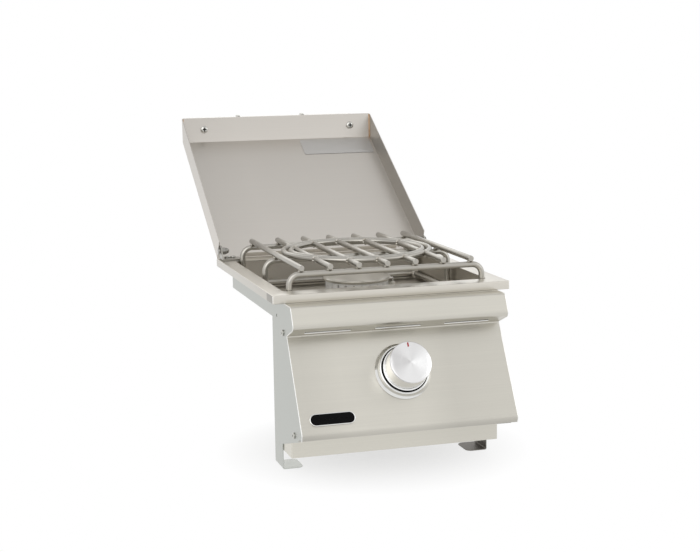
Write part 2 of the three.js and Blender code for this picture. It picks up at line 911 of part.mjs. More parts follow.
function piezoIgniter() {
  const half = igniterWidth / 2;
  const body = boxBetween(
    [igniterX - half, -igniterHeight / 2, bodyFront - igniterLength],
    [igniterX + half, igniterHeight / 2, bodyFront],
  );
  const low = bodyFront - igniterLength - terminalLength;
  const terminal = rodAlongZ(terminalRadius, low, bodyFront - igniterLength / 2).translate(igniterX, 0, 0);
  return join(toSolid(body), toSolid(terminal));
}

// Orifice: a small brass jet screwed into the spud
function orifice() {
  const base = spudEnd + seatGap;
  const tip = base + orificeLength;
  const profile = [
    [0, base - orificeTip + seatGap * 2],
    [orificeThread, base - orificeTip + seatGap * 2],
    [orificeThread, base],
    [orificeRadius, base],
    [orificeRadius, tip - orificeTip],
    [orificeRadius / 2, tip],
    [0, tip],
  ];
  return turned(profile, smallSteps).rotateX(-Math.PI / 2).translate(0, 0, gasLevel);
}

// Venturi: a tube from the jet to the burner with two air windows near its closed end
function venturiTube() {
  const top = panFloor - panWall - seatGap;
  const corners = [[0, venturiFront, gasLevel], [0, burnerPlace, gasLevel], [0, burnerPlace, top]];
  const bore = [
    [0, venturiFront + venturiEndWall, gasLevel],
    [0, burnerPlace, gasLevel],
    [0, burnerPlace, top + overrun],
  ];
  const outer = along(new BentRoute(corners, venturiBend, bendSteps * 2), venturiRadius, turnSteps / 2);
  const inner = along(
    new BentRoute(bore, venturiBend, bendSteps * 2),
    venturiRadius - venturiWall,
    turnSteps / 2,
  );
  const jetHole = rodAlongY(orificeRadius + runningGap, venturiFront - overrun, venturiFront + overrun);
  return cut(
    toSolid(outer),
    toSolid(inner),
    toSolid(jetHole.translate(0, 0, gasLevel)),
    airWindows(),
  );
}

function airWindows() {
  const reach = venturiRadius + shutterWall + overrun;
  const start = venturiFront + windowInset;
  const window = boxBetween(
    [-reach, start, gasLevel - windowWidth / 2],
    [reach, start + windowLength, gasLevel + windowWidth / 2],
  );
  return toSolid(window);
}

// Air shutter: a sleeve that turns on the venturi and covers its windows
function airShutter() {
  const bore = venturiRadius + runningGap;
  const sleeve = rodAlongY(bore + shutterWall, venturiFront, venturiFront + shutterLength, turnSteps);
  const hollow = rodAlongY(bore, venturiFront - overrun, venturiFront + shutterLength + overrun, turnSteps);
  return cut(
    toSolid(sleeve.translate(0, 0, gasLevel)),
    toSolid(hollow.translate(0, 0, gasLevel)),
    airWindows(),
  );
}

// Where the gas pipe leaves the valve, in the working frame
function pipeStart() {
  return panelPoint(portReach + seatGap, knobPlace).addScaledVector(panelOut, -portDepth);
}

function gasPipe() {
  const start = pipeStart();
  const corners = [
    [start.x, start.y, start.z],
    [pipeTurn, start.y, start.z],
    [pipeTurn, pipeEnd, start.z],
  ];
  const route = new BentRoute(corners, pipeBend, bendSteps + 2);
  const open = new BentRoute([
    [start.x - overrun, start.y, start.z],
    [pipeTurn, start.y, start.z],
    [pipeTurn, pipeEnd + overrun, start.z],
  ], pipeBend, bendSteps + 2);
  return cut(toSolid(along(route, pipeRadius)), toSolid(along(open, pipeRadius - pipeWall)));
}

// Inlet: a hexagon with a flared neck that the supply hose screws onto
function inletFitting() {
  const start = pipeEnd + seatGap;
  const hexEnd = start + fittingHexLength;
  const end = start + fittingLength;
  const hex = rodAlongY(fittingHexRadius, start, hexEnd, 6);
  const neck = rodAlongY(fittingNeckRadius, start, end, turnSteps / 2);
  const bore = rodAlongY(fittingBore, start - overrun, end + overrun);
  const whole = cut(join(toSolid(hex), toSolid(neck)), toSolid(bore));
  return whole.translate([pipeTurn, 0, pipeStart().z]);
}

const baseBottom = panFloor + seatGap;
const baseTop = baseBottom + baseThickness;

function burnerBase() {
  const disc = rodAlongZ(baseRadius, baseBottom, baseTop, turnSteps);
  const half = earWidth / 2;
  const ears = raised(rectangle(-earReach, -half, earReach, half, half), baseBottom, baseTop);
  const spigot = rodAlongZ(spigotRadius, baseBottom - spigotLength, baseTop, turnSteps / 2);
  const bore = rodAlongZ(
    spigotRadius - spigotWall,
    baseBottom - spigotLength - overrun,
    baseTop + overrun,
    turnSteps / 2,
  );
  const hole = (x) => toSolid(rodAlongZ(clearHole, baseBottom - overrun, baseTop + overrun).translate(x, 0, 0));
  return cut(
    join(toSolid(disc), toSolid(ears), toSolid(spigot)),
    toSolid(bore),
    hole(-earScrewX),
    hole(earScrewX),
  );
}

// Drum: the burner's ring wall with its flame ports near the top
function burnerDrum() {
  const base = baseTop + seatGap;
  const ring = turned([
    [drumRadius - drumWall, base],
    [drumRadius, base],
    [drumRadius, drumTop],
    [drumRadius - drumWall, drumTop],
    [drumRadius - drumWall, base],
  ]);
  const ports = [];
  for (let i = 0; i < portCount; i += 1) {
    const port = boxBetween(
      [drumRadius - drumWall - overrun, -portWidth / 2, drumTop - portDrop - portHeight],
      [drumRadius + overrun, portWidth / 2, drumTop - portDrop],
    );
    ports.push(toSolid(port.rotateZ(Math.PI * 2 * (i + 0.5) / portCount)));
  }
  return cut(toSolid(ring), ...ports);
}

function burnerCap() {
  const seat = drumTop + seatGap;
  const skirtRadius = drumRadius - drumWall - runningGap * 2;
  return turned([
    [0, seat],
    [skirtRadius - drumWall, seat],
    [skirtRadius - drumWall, seat - capSkirt],
    [skirtRadius, seat - capSkirt],
    [skirtRadius, seat],
    [drumRadius, seat],
    [capRadius, capEdge - capEdgeRound / 2],
    [capRadius, capEdge + capEdgeRound / 2],
    [capRadius - capEdgeRound, capTop],
    [capRadius / 2, capTop + capDome / 2],
    [0, capTop + capDome],
  ]);
}

// Electrode: a ceramic tube through the pan with a bent tip that points at the ports
function electrodeInsulator() {
  const seat = panFloor + seatGap + sheet + seatGap;
  return turned([
    [0, insulatorBottom],
    [insulatorRadius, insulatorBottom],
    [insulatorRadius, seat],
    [insulatorCollar, seat],
    [insulatorCollar, seat + sheet * 2],
    [insulatorRadius, seat + sheet * 3],
    [insulatorRadius, insulatorTop - insulatorRadius],
    [insulatorRadius / 2, insulatorTop],
    [0, insulatorTop],
  ], smallSteps).translate(electrodeX, electrodeY, 0);
}

function electrodeTip() {
  const base = insulatorTop + seatGap;
  const toward = new THREE.Vector2(-electrodeX, burnerPlace - electrodeY).normalize();
  const bend = electrodeRadius * 2;
  const corners = [
    [electrodeX, electrodeY, base],
    [electrodeX, electrodeY, base + electrodeRise],
    [electrodeX + toward.x * electrodeReach, electrodeY + toward.y * electrodeReach, base + electrodeRise],
  ];
  return along(new BentRoute(corners, bend, bendSteps), electrodeRadius, wireSides);
}

function electrodeBracket() {
  const low = panFloor + seatGap;
  const half = clampWidth / 2;
  const foot = boxBetween(
    [electrodeX - half, electrodeY - half, low],
    [electrodeX + half, electrodeY - half + clampLength, low + sheet],
  );
  const back = electrodeY - half + clampLength;
  const tab = boxBetween([electrodeX - half, back - sheet, low], [electrodeX + half, back, low + clampRise]);
  const hole = rodAlongZ(insulatorRadius + runningGap, low - overrun, low + sheet + overrun);
  return cut(join(toSolid(foot), toSolid(tab)), toSolid(placed(hole, electrodeX, electrodeY, 0)));
}

// Ignition wire: from the igniter's terminal round the venturi and up to the electrode
const wireBend = 6;
const wireDrop = 12;
const wireSide = -36;
const wireTurnY = 34;
const wireUnderPan = -56;
const wireCrossY = 112;

function ignitionWire() {
  const exit = panelPoint(igniterX, knobPlace);
  exit.addScaledVector(panelOut, bodyFront - igniterLength - terminalLength - seatGap);
  const clear = exit.clone().addScaledVector(panelOut, -wireDrop);
  const corners = [
    [exit.x, exit.y, exit.z],
    [clear.x, clear.y, clear.z],
    [wireSide, wireTurnY, clear.z],
    [wireSide, wireCrossY - wireTurnY, wireUnderPan - wireDrop],
    [wireSide, wireCrossY, wireUnderPan - wireDrop],
    [electrodeX, wireCrossY, wireUnderPan - wireDrop],
    [electrodeX, electrodeY, wireUnderPan - wireDrop],
    [electrodeX, electrodeY, insulatorBottom - seatGap],
  ];
  return along(new BentRoute(corners, wireBend, bendSteps), wireRadius, wireSides);
}

// Grate pieces, in the grate's own group
const barLevel = grateLevel - rodDiameter - seatGap;
const legEnd = panFloor + seatGap;

function arch(y) {
  const corners = [
    [-supportHalfWidth, y, legEnd],
    [-supportHalfWidth, y, barLevel],
    [supportHalfWidth, y, barLevel],
    [supportHalfWidth, y, legEnd],
  ];
  return toSolid(along(new BentRoute(corners, supportBend, bendSteps + 2), rodRadius));
}

function rail(side, from, to) {
  return toSolid(rodAlongY(rodRadius, from, to, rodSides).translate(side * supportHalfWidth, 0, railLevel));
}

function supportWithRails(place, from, to) {
  return join(arch(place), rail(-1, from, to), rail(1, from, to));
}

function rearSupport() {
  const bar = rodAlongX(rodRadius, -supportHalfWidth, supportHalfWidth, rodSides);
  const rails = supportWithRails(supportRear, supportMiddle + rodRadius + seatGap, supportRear);
  return join(rails, toSolid(bar.translate(0, supportRear, railLevel)));
}

function ring(radius) {
  const torus = new THREE.TorusGeometry(radius, rodRadius, rodSides, ringSteps);
  return toSolid(torus.translate(0, grateCentre, grateLevel));
}

function grateBar(x, from, to) {
  return toSolid(rodAlongY(rodRadius, from, to, rodSides).translate(x, 0, grateLevel));
}

function outerRing() {
  const stubs = [];
  innerBarShares.forEach((share) => {
    const x = share * gratePitch;
    const reach = Math.sqrt(outerRingRadius ** 2 - x ** 2);
    stubs.push(grateBar(x, rodFront, grateCentre - reach), grateBar(x, grateCentre + reach, rodBack));
  });
  return join(ring(outerRingRadius), ...stubs);
}

function innerRing() {
  const bars = innerBarShares.map((share) => {
    const x = share * gratePitch;
    const reach = Math.sqrt(innerRingRadius ** 2 - x ** 2);
    return grateBar(x, grateCentre - reach, grateCentre + reach);
  });
  return join(ring(innerRingRadius), ...bars);
}

// Lid, drawn closed with the pivot at the group's origin
const lidTop = lidDepth + lidClearance - pivotLevel;
const lidBottom = lidClearance - pivotLevel;
const lidRear = -lidRearSet;
const lidFront = lidRear - lidLength;
const lidFrontFoot = lidFront - lidFrontSlant;

function lidShell() {
  const profile = outline([
    [lidRear, lidBottom],
    [lidRear, lidTop],
    [lidFront, lidTop],
    [lidFrontFoot, lidBottom],
  ]);
  const slant = Math.hypot(lidFrontSlant, lidDepth) / lidDepth;
  const innerTop = lidTop - sheet;
  const inset = sheet * slant;
  const frontAt = (z) => lidFront - lidFrontSlant * (lidTop - z) / lidDepth + inset;
  const hollow = outline([
    [lidRear - sheet, lidBottom - overrun],
    [lidRear - sheet, innerTop],
    [frontAt(innerTop), innerTop],
    [frontAt(lidBottom - overrun), lidBottom - overrun],
  ]);
  const inner = lidHalfWidth - sheet;
  const notch = (x0, x1) => toSolid(boxBetween(
    [x0, lidRear - sheet - overrun, lidBottom - overrun],
    [x1, lidRear + overrun, innerTop],
  ));
  const lowNotch = boxBetween(
    [-inner, lidRear - sheet - overrun, lidBottom - overrun],
    [inner, lidRear + overrun, lidTop - lidRearFlange],
  );
  const handleHole = (x) => {
    const hole = rodAlongZ(handleScrewRadius + runningGap, -overrun * 2, overrun * 2);
    return toSolid(hole.applyMatrix4(flangeMatrix(x, postAlong)));
  };
  const boltHole = rodAlongX(boltRadius + runningGap, -lidHalfWidth - overrun, lidHalfWidth + overrun);
  return cut(
    toSolid(acrossX(profile, -lidHalfWidth, lidHalfWidth)),
    toSolid(acrossX(hollow, -inner, inner)),
    notch(-inner, -lidRearFlangeHalfWidth),
    notch(lidRearFlangeHalfWidth, inner),
    toSolid(lowNotch),
    toSolid(boltHole),
    handleHole(-postPlace),
    handleHole(postPlace),
  );
}

// Place on the front flange: x across, y toward the free edge, z outward
const flangeDown = new THREE.Vector3(0, lidFrontFoot - lidFront, lidBottom - lidTop).normalize();
const flangeOut = new THREE.Vector3(0, flangeDown.z, -flangeDown.y);

function flangeMatrix(x, distance) {
  const basis = new THREE.Matrix4().makeBasis(axisX.clone().negate(), flangeDown, flangeOut);
  const place = new THREE.Vector3(x, lidFront, lidTop).addScaledVector(flangeDown, distance);
  return basis.setPosition(place);
}

function flangeGroup(x, distance) {
  const group = new THREE.Group();
  flangeMatrix(x, distance).decompose(group.position, group.quaternion, group.scale);
  return group;
}

// Handle: a round bar with two collars that bound the grip
function handleTube() {
  const half = handleHalfLength;
  const collarStart = collarPlace - collarWidth / 2;
  const collarEnd = collarPlace + collarWidth / 2;
  const round = handleEndRound;
  const side = [
    [handleRadius, collarStart],
    [collarRadius, collarStart],
    [collarRadius, collarEnd],
    [handleRadius, collarEnd],
    [handleRadius, half - round],
    [handleRadius - round, half],
    [0, half],
  ];
  const mirror = side.map(([r, z]) => [r, -z]).reverse();
  return turned([...mirror, ...side], turnSteps / 2).rotateY(Math.PI / 2);
}

function handlePost() {
  const shift = handleAlong - postAlong;
  const block = toSolid(rodAlongZ(postRadius, seatGap, handleHeight, turnSteps / 2));
  const saddle = rodAlongX(handleRadius + seatGap, -postRadius * 2, postRadius * 2, turnSteps);
  const bore = rodAlongZ(handleScrewRadius + runningGap, -overrun, handleScrewLength + seatGap);
  const above = boxBetween(
    [-postRadius * 2, -postRadius * 2, handleHeight],
    [postRadius * 2, postRadius * 2, handleHeight * 2],
  );
  return cut(block, toSolid(saddle.translate(0, shift, handleHeight)), toSolid(bore), toSolid(above));
}

function dataPlate() {
  const low = lidTop - sheet - seatGap - labelThickness;
  return boxBetween(
    [labelLeft, lidRear - labelFront, low],
    [labelRight, lidRear - labelRear, low + labelThickness],
  );
}

// Hinge bracket, drawn for the right side: a foot on the rim and an ear round the pivot
function hingeBracket() {
  const outer = lidHalfWidth - sheet - seatGap;
  const low = seatGap;
  const foot = boxBetween(
    [outer - hingeFootWidth, hingeFootFront, low],
    [outer, hingeFootBack, low + hingeThickness],
  );
  const ear = new THREE.Shape();
  ear.moveTo(hingeFootFront, low);
  ear.lineTo(hingeFootBack, low);
  ear.lineTo(pivotPlace + hingeEarRadius, pivotLevel);
  ear.absarc(pivotPlace, pivotLevel, hingeEarRadius, 0, Math.PI);
  const bore = rodAlongX(boltRadius + runningGap, outer - hingeFootWidth, outer + overrun);
  const holes = hingeScrewPlaces().filter(([x]) => x > 0).map(([x]) => {
    const hole = rodAlongZ(clearHole, low - overrun, low + hingeThickness + overrun);
    return toSolid(placed(hole, x, hingeScrewPlace, 0));
  });
  return cut(
    join(toSolid(foot), toSolid(acrossX(ear, outer - hingeThickness, outer))),
    toSolid(placed(bore, 0, pivotPlace, pivotLevel)),
    ...holes,
  );
}

// Pivot bolt, drawn for the right side: low head outside the lid, shank through lid and ear
const nutOuter = lidHalfWidth - sheet - seatGap - hingeThickness - seatGap;

function pivotBolt() {
  const seat = lidHalfWidth + seatGap;
  const head = rodAlongX(boltHeadRadius, seat, seat + boltHeadHeight, turnSteps / 2);
  const shank = rodAlongX(boltRadius, nutOuter - nutHeight, seat + boltHeadHeight / 2);
  return join(toSolid(head), toSolid(shank)).translate([0, pivotPlace, pivotLevel]);
}

function capNut() {
  const acrossCorners = nutAcrossFlats / Math.sqrt(3);
  const inner = nutOuter - nutHeight;
  const hex = rodAlongX(acrossCorners, inner, nutOuter, 6);
  const dome = turned([
    [0, 0],
    ...nutDomeShares.map(([across, up]) => [nutAcrossFlats * across, nutDomeHeight * up]),
    [0, nutDomeHeight],
  ], smallSteps).rotateY(-Math.PI / 2).translate(inner + seatGap, 0, 0);
  const bore = rodAlongX(boltRadius + seatGap, inner - seatGap, nutOuter + overrun);
  return cut(join(toSolid(hex), toSolid(dome)), toSolid(bore)).translate([0, pivotPlace, pivotLevel]);
}

function bothSides(name, solid, material) {
  return [piece(`${name}_right`, solid, material), piece(`${name}_left`, mirrored(solid), material)];
}

// Housing
const housing = new THREE.Group();
housing.add(piece('top_rim', topRim(), materials.brushed));
housing.add(piece('burner_pan', burnerPan(), materials.pan));
housing.add(...bothSides('side_plate', sidePlate(), materials.side));
housing.add(piece('rear_panel', rearPanel(), materials.side));
housing.add(piece('fascia', fasciaPanel(), materials.brushed));
housing.add(piece('lower_apron', lowerApron(), materials.brushed));
[[screwUpper, 'upper'], [screwLower, 'lower']].forEach(([[y, z], level]) => {
  const x = plateHalfWidth + seatGap;
  housing.add(screwAt(`fascia_screw_right_${level}`, shortScrew, [x, y, z], axisX, materials.polished));
  const outward = axisX.clone().negate();
  housing.add(screwAt(`fascia_screw_left_${level}`, shortScrew, [-x, y, z], outward, materials.polished));
});
const badge = panelGroup(plateLeft + plateLength / 2, platePlace);
badge.add(piece('nameplate', nameplate(), materials.black));
housing.add(badge);

// Control on the knob's axis
const control = panelGroup(0, knobPlace);
control.add(piece('knob_bezel', knobBezel(), materials.polished));
control.add(piece('knob_body', knobBody(), materials.polished));
control.add(piece('knob_index', indexMark(), materials.red));
control.add(piece('valve_stem', valveStem(), materials.brass));
control.add(piece('valve_plug', valvePlug(), materials.brass));
control.add(piece('valve_body', valveBody(), materials.brass));
control.add(piece('valve_bracket', valveBracket(), materials.side));
control.add(piece('piezo_igniter', piezoIgniter(), materials.black));

// Gas way
const gasWay = new THREE.Group();
gasWay.add(piece('orifice', orifice(), materials.brass));
gasWay.add(piece('venturi_tube', venturiTube(), materials.side));
gasWay.add(piece('air_shutter', airShutter(), materials.side));
gasWay.add(piece('gas_pipe', gasPipe(), materials.side));
gasWay.add(piece('inlet_fitting', inletFitting(), materials.brass));

// Burner
const burner = new THREE.Group();
burner.position.set(0, burnerPlace, 0);
burner.add(piece('burner_base', burnerBase(), materials.cast));
burner.add(piece('burner_drum', burnerDrum(), materials.rod));
burner.add(piece('burner_cap', burnerCap(), materials.rod));
const burnerScrew = toGeometry(screw(screwHeadRadius, screwHeadHeight, screwRadius, burnerScrewLength));
[[-earScrewX, 'left'], [earScrewX, 'right']].forEach(([x, side]) => {
  burner.add(screwAt(`burner_screw_${side}`, burnerScrew, [x, 0, baseTop + seatGap], axisZ, materials.polished));
});

const ignition = new THREE.Group();
ignition.add(piece('electrode_insulator', electrodeInsulator(), materials.ceramic));
ignition.add(piece('electrode_tip', electrodeTip(), materials.side));
ignition.add(piece('electrode_bracket', electrodeBracket(), materials.side));
ignition.add(piece('ignition_wire', ignitionWire(), materials.rubber));

// Grate, set a little to the right of the middle
const grate = new THREE.Group();
grate.position.x = grateShift;
const frontRails = supportMiddle - rodRadius - seatGap;
grate.add(piece('grate_support_front', supportWithRails(supportFront, supportFront, frontRails), materials.rod));
grate.add(piece('grate_support_middle', arch(supportMiddle), materials.rod));
grate.add(piece('grate_support_rear', rearSupport(), materials.rod));
const rodPlace = gratePitch * outerBarShare;
grate.add(piece('grate_rod_left', grateBar(-rodPlace, rodFront, rodBack), materials.rod));
grate.add(piece('grate_rod_right', grateBar(rodPlace, rodFront, rodBack), materials.rod));
grate.add(piece('grate_outer_ring', outerRing(), materials.rod));
grate.add(piece('grate_inner_ring', innerRing(), materials.rod));

// Lid on its pivots, leaning back open
const lid = new THREE.Group();
lid.position.set(0, pivotPlace, pivotLevel);
lid.rotation.x = -toRadians(lidOpenAngle);
lid.add(piece('lid_shell', lidShell(), materials.brushed));
lid.add(piece('data_plate', dataPlate(), materials.foil));
const handleScrew = toGeometry(
  screw(handleScrewHeadRadius, handleScrewHeadHeight, handleScrewRadius, handleScrewLength),
);
const handleBar = flangeGroup(0, handleAlong);
const tube = piece('handle_tube', handleTube(), materials.polished);
tube.position.z = handleHeight;
handleBar.add(tube);
lid.add(handleBar);
[[-postPlace, 'left'], [postPlace, 'right']].forEach(([x, side]) => {
  const post = flangeGroup(x, postAlong);
  post.add(piece(`handle_post_${side}`, handlePost(), materials.polished));
  const inward = axisZ.clone().negate();
  const place = [0, 0, -sheet - seatGap];
  post.add(screwAt(`handle_screw_${side}`, handleScrew, place, inward, materials.polished));
  lid.add(post);
});

// Hinges
const hinges = new THREE.Group();
hinges.add(...bothSides('hinge_bracket', hingeBracket(), materials.side));
hinges.add(...bothSides('pivot_bolt', pivotBolt(), materials.polished));
hinges.add(...bothSides('cap_nut', capNut(), materials.polished));
hingeScrewPlaces().forEach(([x, name]) => {
  const place = [x, hingeScrewPlace, seatGap + hingeThickness + seatGap];
  hinges.add(screwAt(name, shortScrew, place, axisZ, materials.polished));
});

// The whole appliance, moved so that the origin is on the rim's rear rest face
const appliance = new THREE.Group();
appliance.position.set(0, hemDepth / 2 - rimDepth, skirtHeight);
appliance.add(housing, control, gasWay, burner, ignition, grate, lid, hinges);

const sideBurner = new THREE.Group();
sideBurner.add(appliance);

export default sideBurner;
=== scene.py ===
# %% [markdown]
# A built-in side burner of an outdoor kitchen. It is nearly all stainless sheet and rod, so the looks come
# from three things: crisp but not razor-sharp bends, brushed and polished steel that differ in roughness,
# and the small bright welds and screws that tell the eye how big the thing is.
# The imported model is the fixed frame; most finer pieces here take the place of one of its nodes, and others
# are added to it.

# %% Load the frame
import math

import bmesh
import bpy
import numpy as np
from mathutils import Matrix, Vector


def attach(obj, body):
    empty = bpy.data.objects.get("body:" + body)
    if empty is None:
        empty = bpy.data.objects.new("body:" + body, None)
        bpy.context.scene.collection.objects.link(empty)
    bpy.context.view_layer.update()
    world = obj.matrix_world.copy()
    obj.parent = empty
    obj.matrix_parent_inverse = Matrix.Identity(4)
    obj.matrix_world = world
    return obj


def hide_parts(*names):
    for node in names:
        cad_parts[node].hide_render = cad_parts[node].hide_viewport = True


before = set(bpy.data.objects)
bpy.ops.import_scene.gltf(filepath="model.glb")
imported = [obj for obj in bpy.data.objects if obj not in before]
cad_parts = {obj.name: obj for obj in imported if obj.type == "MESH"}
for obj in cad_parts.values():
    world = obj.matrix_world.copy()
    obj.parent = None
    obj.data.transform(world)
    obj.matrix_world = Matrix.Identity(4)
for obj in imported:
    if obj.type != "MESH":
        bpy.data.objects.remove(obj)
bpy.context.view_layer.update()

# %% [markdown]
# All sizes below are in millimetres from the rim: x from mid-width, y from the rim's front face, z from its
# top face. One helper carries them to the shared frame, whose origin is on the rim's rear rest face.

# %% From the rim's millimetres to the frame
MM = 0.001
REST = np.array([0.0, -351.0, 11.5])
SHEET = 1.2
GAP = 0.3
SIDES = (("left", -1), ("right", 1))
X, Y, Z = np.eye(3)


def to_frame(points):
    """Shifts points from the rim's corner of the work to the frame's origin and turns them into metres."""
    return (np.asarray(points, float) + REST) * MM


def spread(low, high, count):
    """Evenly spaced values from low to high, both included."""
    return np.linspace(low, high, count)


def full_turn(count):
    """Evenly spaced angles round a full turn, without the one that meets the first again."""
    return spread(0, 2 * math.pi, count + 1)[:-1]


def unit(direction):
    """A direction brought to length one."""
    return direction / np.linalg.norm(direction)


# %% [markdown]
# Every piece is a surface on a grid of two parameters. A plain surface joins each grid point to its
# neighbours; a sheet has two skins on the same grid, with walls wherever a cell is left out, so slots,
# windows and notches are just missing cells.

# %% Surfaces and sheets on a grid
def surface(points, wrap_rows=False, wrap_cols=False):
    """Quads between neighbouring points of a (rows, cols, 3) grid; a wrapped way meets its own start."""
    rows, cols = points.shape[:2]
    i, j = np.meshgrid(np.arange(rows - (not wrap_rows)), np.arange(cols - (not wrap_cols)), indexing="ij")
    below, beside = (i + 1) % rows, (j + 1) % cols
    corners = (i * cols + j, i * cols + beside, below * cols + beside, below * cols + j)
    return points.reshape(-1, 3), np.stack([c.ravel() for c in corners], 1)


def sheet(outer, inner, keep=None, wrap=False):
    """Two skins on one grid, joined by walls along every side of the kept cells."""
    rows, cols = outer.shape[:2]
    cells = (rows - 1, cols if wrap else cols - 1)
    keep = np.ones(cells, bool) if keep is None else keep
    i, j = np.nonzero(keep)
    beside = (j + 1) % cols
    a, b, c, d = i * cols + j, i * cols + beside, (i + 1) * cols + beside, (i + 1) * cols + j
    far = rows * cols
    faces = [np.stack([a, b, c, d], 1), np.stack([d, c, b, a], 1) + far]
    sides = (((-1, 0), a, b), ((0, 1), b, c), ((1, 0), c, d), ((0, -1), d, a))
    for (down, right), p, q in sides:
        ni, nj = i + down, j + right
        nj = nj % cells[1] if wrap else nj
        outside = (ni < 0) | (ni >= cells[0]) | (nj < 0) | (nj >= cells[1])
        inside = keep[np.clip(ni, 0, cells[0] - 1), np.clip(nj, 0, cells[1] - 1)]
        bare = outside | ~inside
        faces.append(np.stack([q[bare], p[bare], p[bare] + far, q[bare] + far], 1))
    return np.concatenate([outer.reshape(-1, 3), inner.reshape(-1, 3)]), np.concatenate(faces)


def together(*shapes):
    """Several (points, faces) shapes as one, with the face numbers moved along."""
    starts = np.cumsum([0] + [len(points) for points, _ in shapes[:-1]])
    faces = [faces + start for (_, faces), start in zip(shapes, starts)]
    return np.concatenate([points for points, _ in shapes]), np.concatenate(faces)


# %% [markdown]
# A shape becomes a Blender object in one place: doubled points at seams and poles are merged, faces are
# turned outwards, edges sharper than a set angle stay crisp, and the piece rides on its body.

# %% From a shape to a finished piece
WELD = 1e-6
SHARP = math.radians(32)
made = []


def build(name, shape, body, material, replaces=(), bevel=0.0, hollow=None):
    """Puts a shape in millimetres into a mesh object that rides on a body and stands for CAD nodes.
    hollow is a number per point, kept with the mesh, that says how deep in a recess the point lies."""
    points, faces = shape
    mesh = bpy.data.meshes.new(name)
    mesh.from_pydata(to_frame(points).tolist(), [], faces.tolist())
    if hollow is not None:
        mesh.attributes.new("hollow", "FLOAT", "POINT").data.foreach_set("value", hollow)
    work = bmesh.new()
    work.from_mesh(mesh)
    bmesh.ops.remove_doubles(work, verts=work.verts, dist=WELD)
    bmesh.ops.dissolve_degenerate(work, edges=work.edges, dist=WELD)
    loose = [v for v in work.verts if not v.link_faces]
    bmesh.ops.delete(work, geom=loose, context="VERTS")
    bmesh.ops.recalc_face_normals(work, faces=work.faces)
    work.to_mesh(mesh)
    work.free()
    mesh.shade_smooth()
    mesh.set_sharp_from_angle(angle=SHARP)
    thing = bpy.data.objects.new(name, mesh)
    bpy.context.scene.collection.objects.link(thing)
    mesh.materials.append(material)
    if bevel:
        edge = thing.modifiers.new("soft_edges", "BEVEL")
        edge.width = bevel * MM
        edge.segments = 2
        edge.limit_method = "ANGLE"
        edge.angle_limit = SHARP
        edge.harden_normals = True
    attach(thing, body)
    if replaces:
        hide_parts(*replaces)
    made.append(thing)
    print(f"{name}: {len(mesh.polygons)} faces on {body}")
    return thing


# %% [markdown]
# Three families of shape cover almost everything: turned solids, bars and tubes swept along a route, and
# stacks of loops. Each takes whole arrays.

# %% Turned, swept and stacked shapes
def turned(profile, centre=(0, 0, 0), axes=(X, Y, Z), steps=96):
    """Each (radius, height) of the profile becomes a circle about the third axis, at that height."""
    profile = np.asarray(profile, float)
    angle = full_turn(steps)
    ring = np.cos(angle)[:, None] * axes[0] + np.sin(angle)[:, None] * axes[1]
    points = profile[:, None, :1] * ring + profile[:, None, 1:] * axes[2] + np.asarray(centre, float)
    return surface(points, wrap_cols=True)


def arc(centre, radius, start, end, count=8):
    """Points of a circle in the plane, from one angle to another in degrees."""
    angle = np.radians(spread(start, end, count))
    return np.stack([centre[0] + radius * np.cos(angle), centre[1] + radius * np.sin(angle)], 1)


def route(corners, bend, steps=10):
    """Straight runs between corners, with each corner rounded by an arc of the bend radius.
    Returns the stations and the direction of travel at each."""
    corners = np.asarray(corners, float)
    ways = np.diff(corners, axis=0)
    ways /= np.linalg.norm(ways, axis=1)[:, None]
    stations, heads = [corners[:1]], [ways[:1]]
    for corner, before, after in zip(corners[1:-1], ways, ways[1:]):
        angle = math.acos(np.clip(before @ after, -1, 1))
        axis = unit(np.cross(before, after))
        start = corner - before * bend * math.tan(angle / 2)
        middle = start + np.cross(axis, before) * bend
        turn = spread(0, angle, steps)[:, None]
        across = np.cross(axis, before)
        stations.append(middle - across * bend * np.cos(turn) + before * bend * np.sin(turn))
        heads.append(before * np.cos(turn) + across * np.sin(turn))
    return np.concatenate(stations + [corners[-1:]]), np.concatenate(heads + [ways[-1:]])


def frames_along(heads):
    """Two directions square to the travel at each station, carried along without twist."""
    side = [unit(np.cross(heads[0], Z if abs(heads[0][2]) < 0.9 else X))]
    for head in heads[1:]:
        side.append(unit(side[-1] - head * (side[-1] @ head)))
    side = np.array(side)
    return side, np.cross(heads, side)


def swept(stations, heads, radius, sides=24, lip=0.5):
    """A round bar along a route: a circle at each station, and at both ends a rounded lip to a flat cut."""
    edge = arc((0, 0), lip, 0, 90, 4)
    shrink, ahead = radius - lip + edge[:, 0], edge[:, 1]
    radii = np.concatenate([[0], shrink[::-1], np.full(len(stations) - 2, radius), shrink, [0]])
    first = stations[0] + heads[0] * (lip - ahead[::-1, None])
    last = stations[-1] - heads[-1] * (lip - ahead[:, None])
    line = np.concatenate([stations[:1], first, stations[1:-1], last, stations[-1:]])
    count = len(edge) + 1
    head = np.concatenate([np.repeat(heads[:1], count, 0), heads[1:-1], np.repeat(heads[-1:], count, 0)])
    side, rise = frames_along(head)
    angle = full_turn(sides)[None, :, None]
    ring = np.cos(angle) * side[:, None] + np.sin(angle) * rise[:, None]
    return surface(line[:, None] + ring * radii[:, None, None], wrap_cols=True)


def bar(start, end, radius, sides=24, lip=0.5):
    """A straight round bar between two places."""
    ends = np.array([start, end], float)
    way = unit(ends[1] - ends[0])
    return swept(ends, np.array([way, way]), radius, sides, lip)


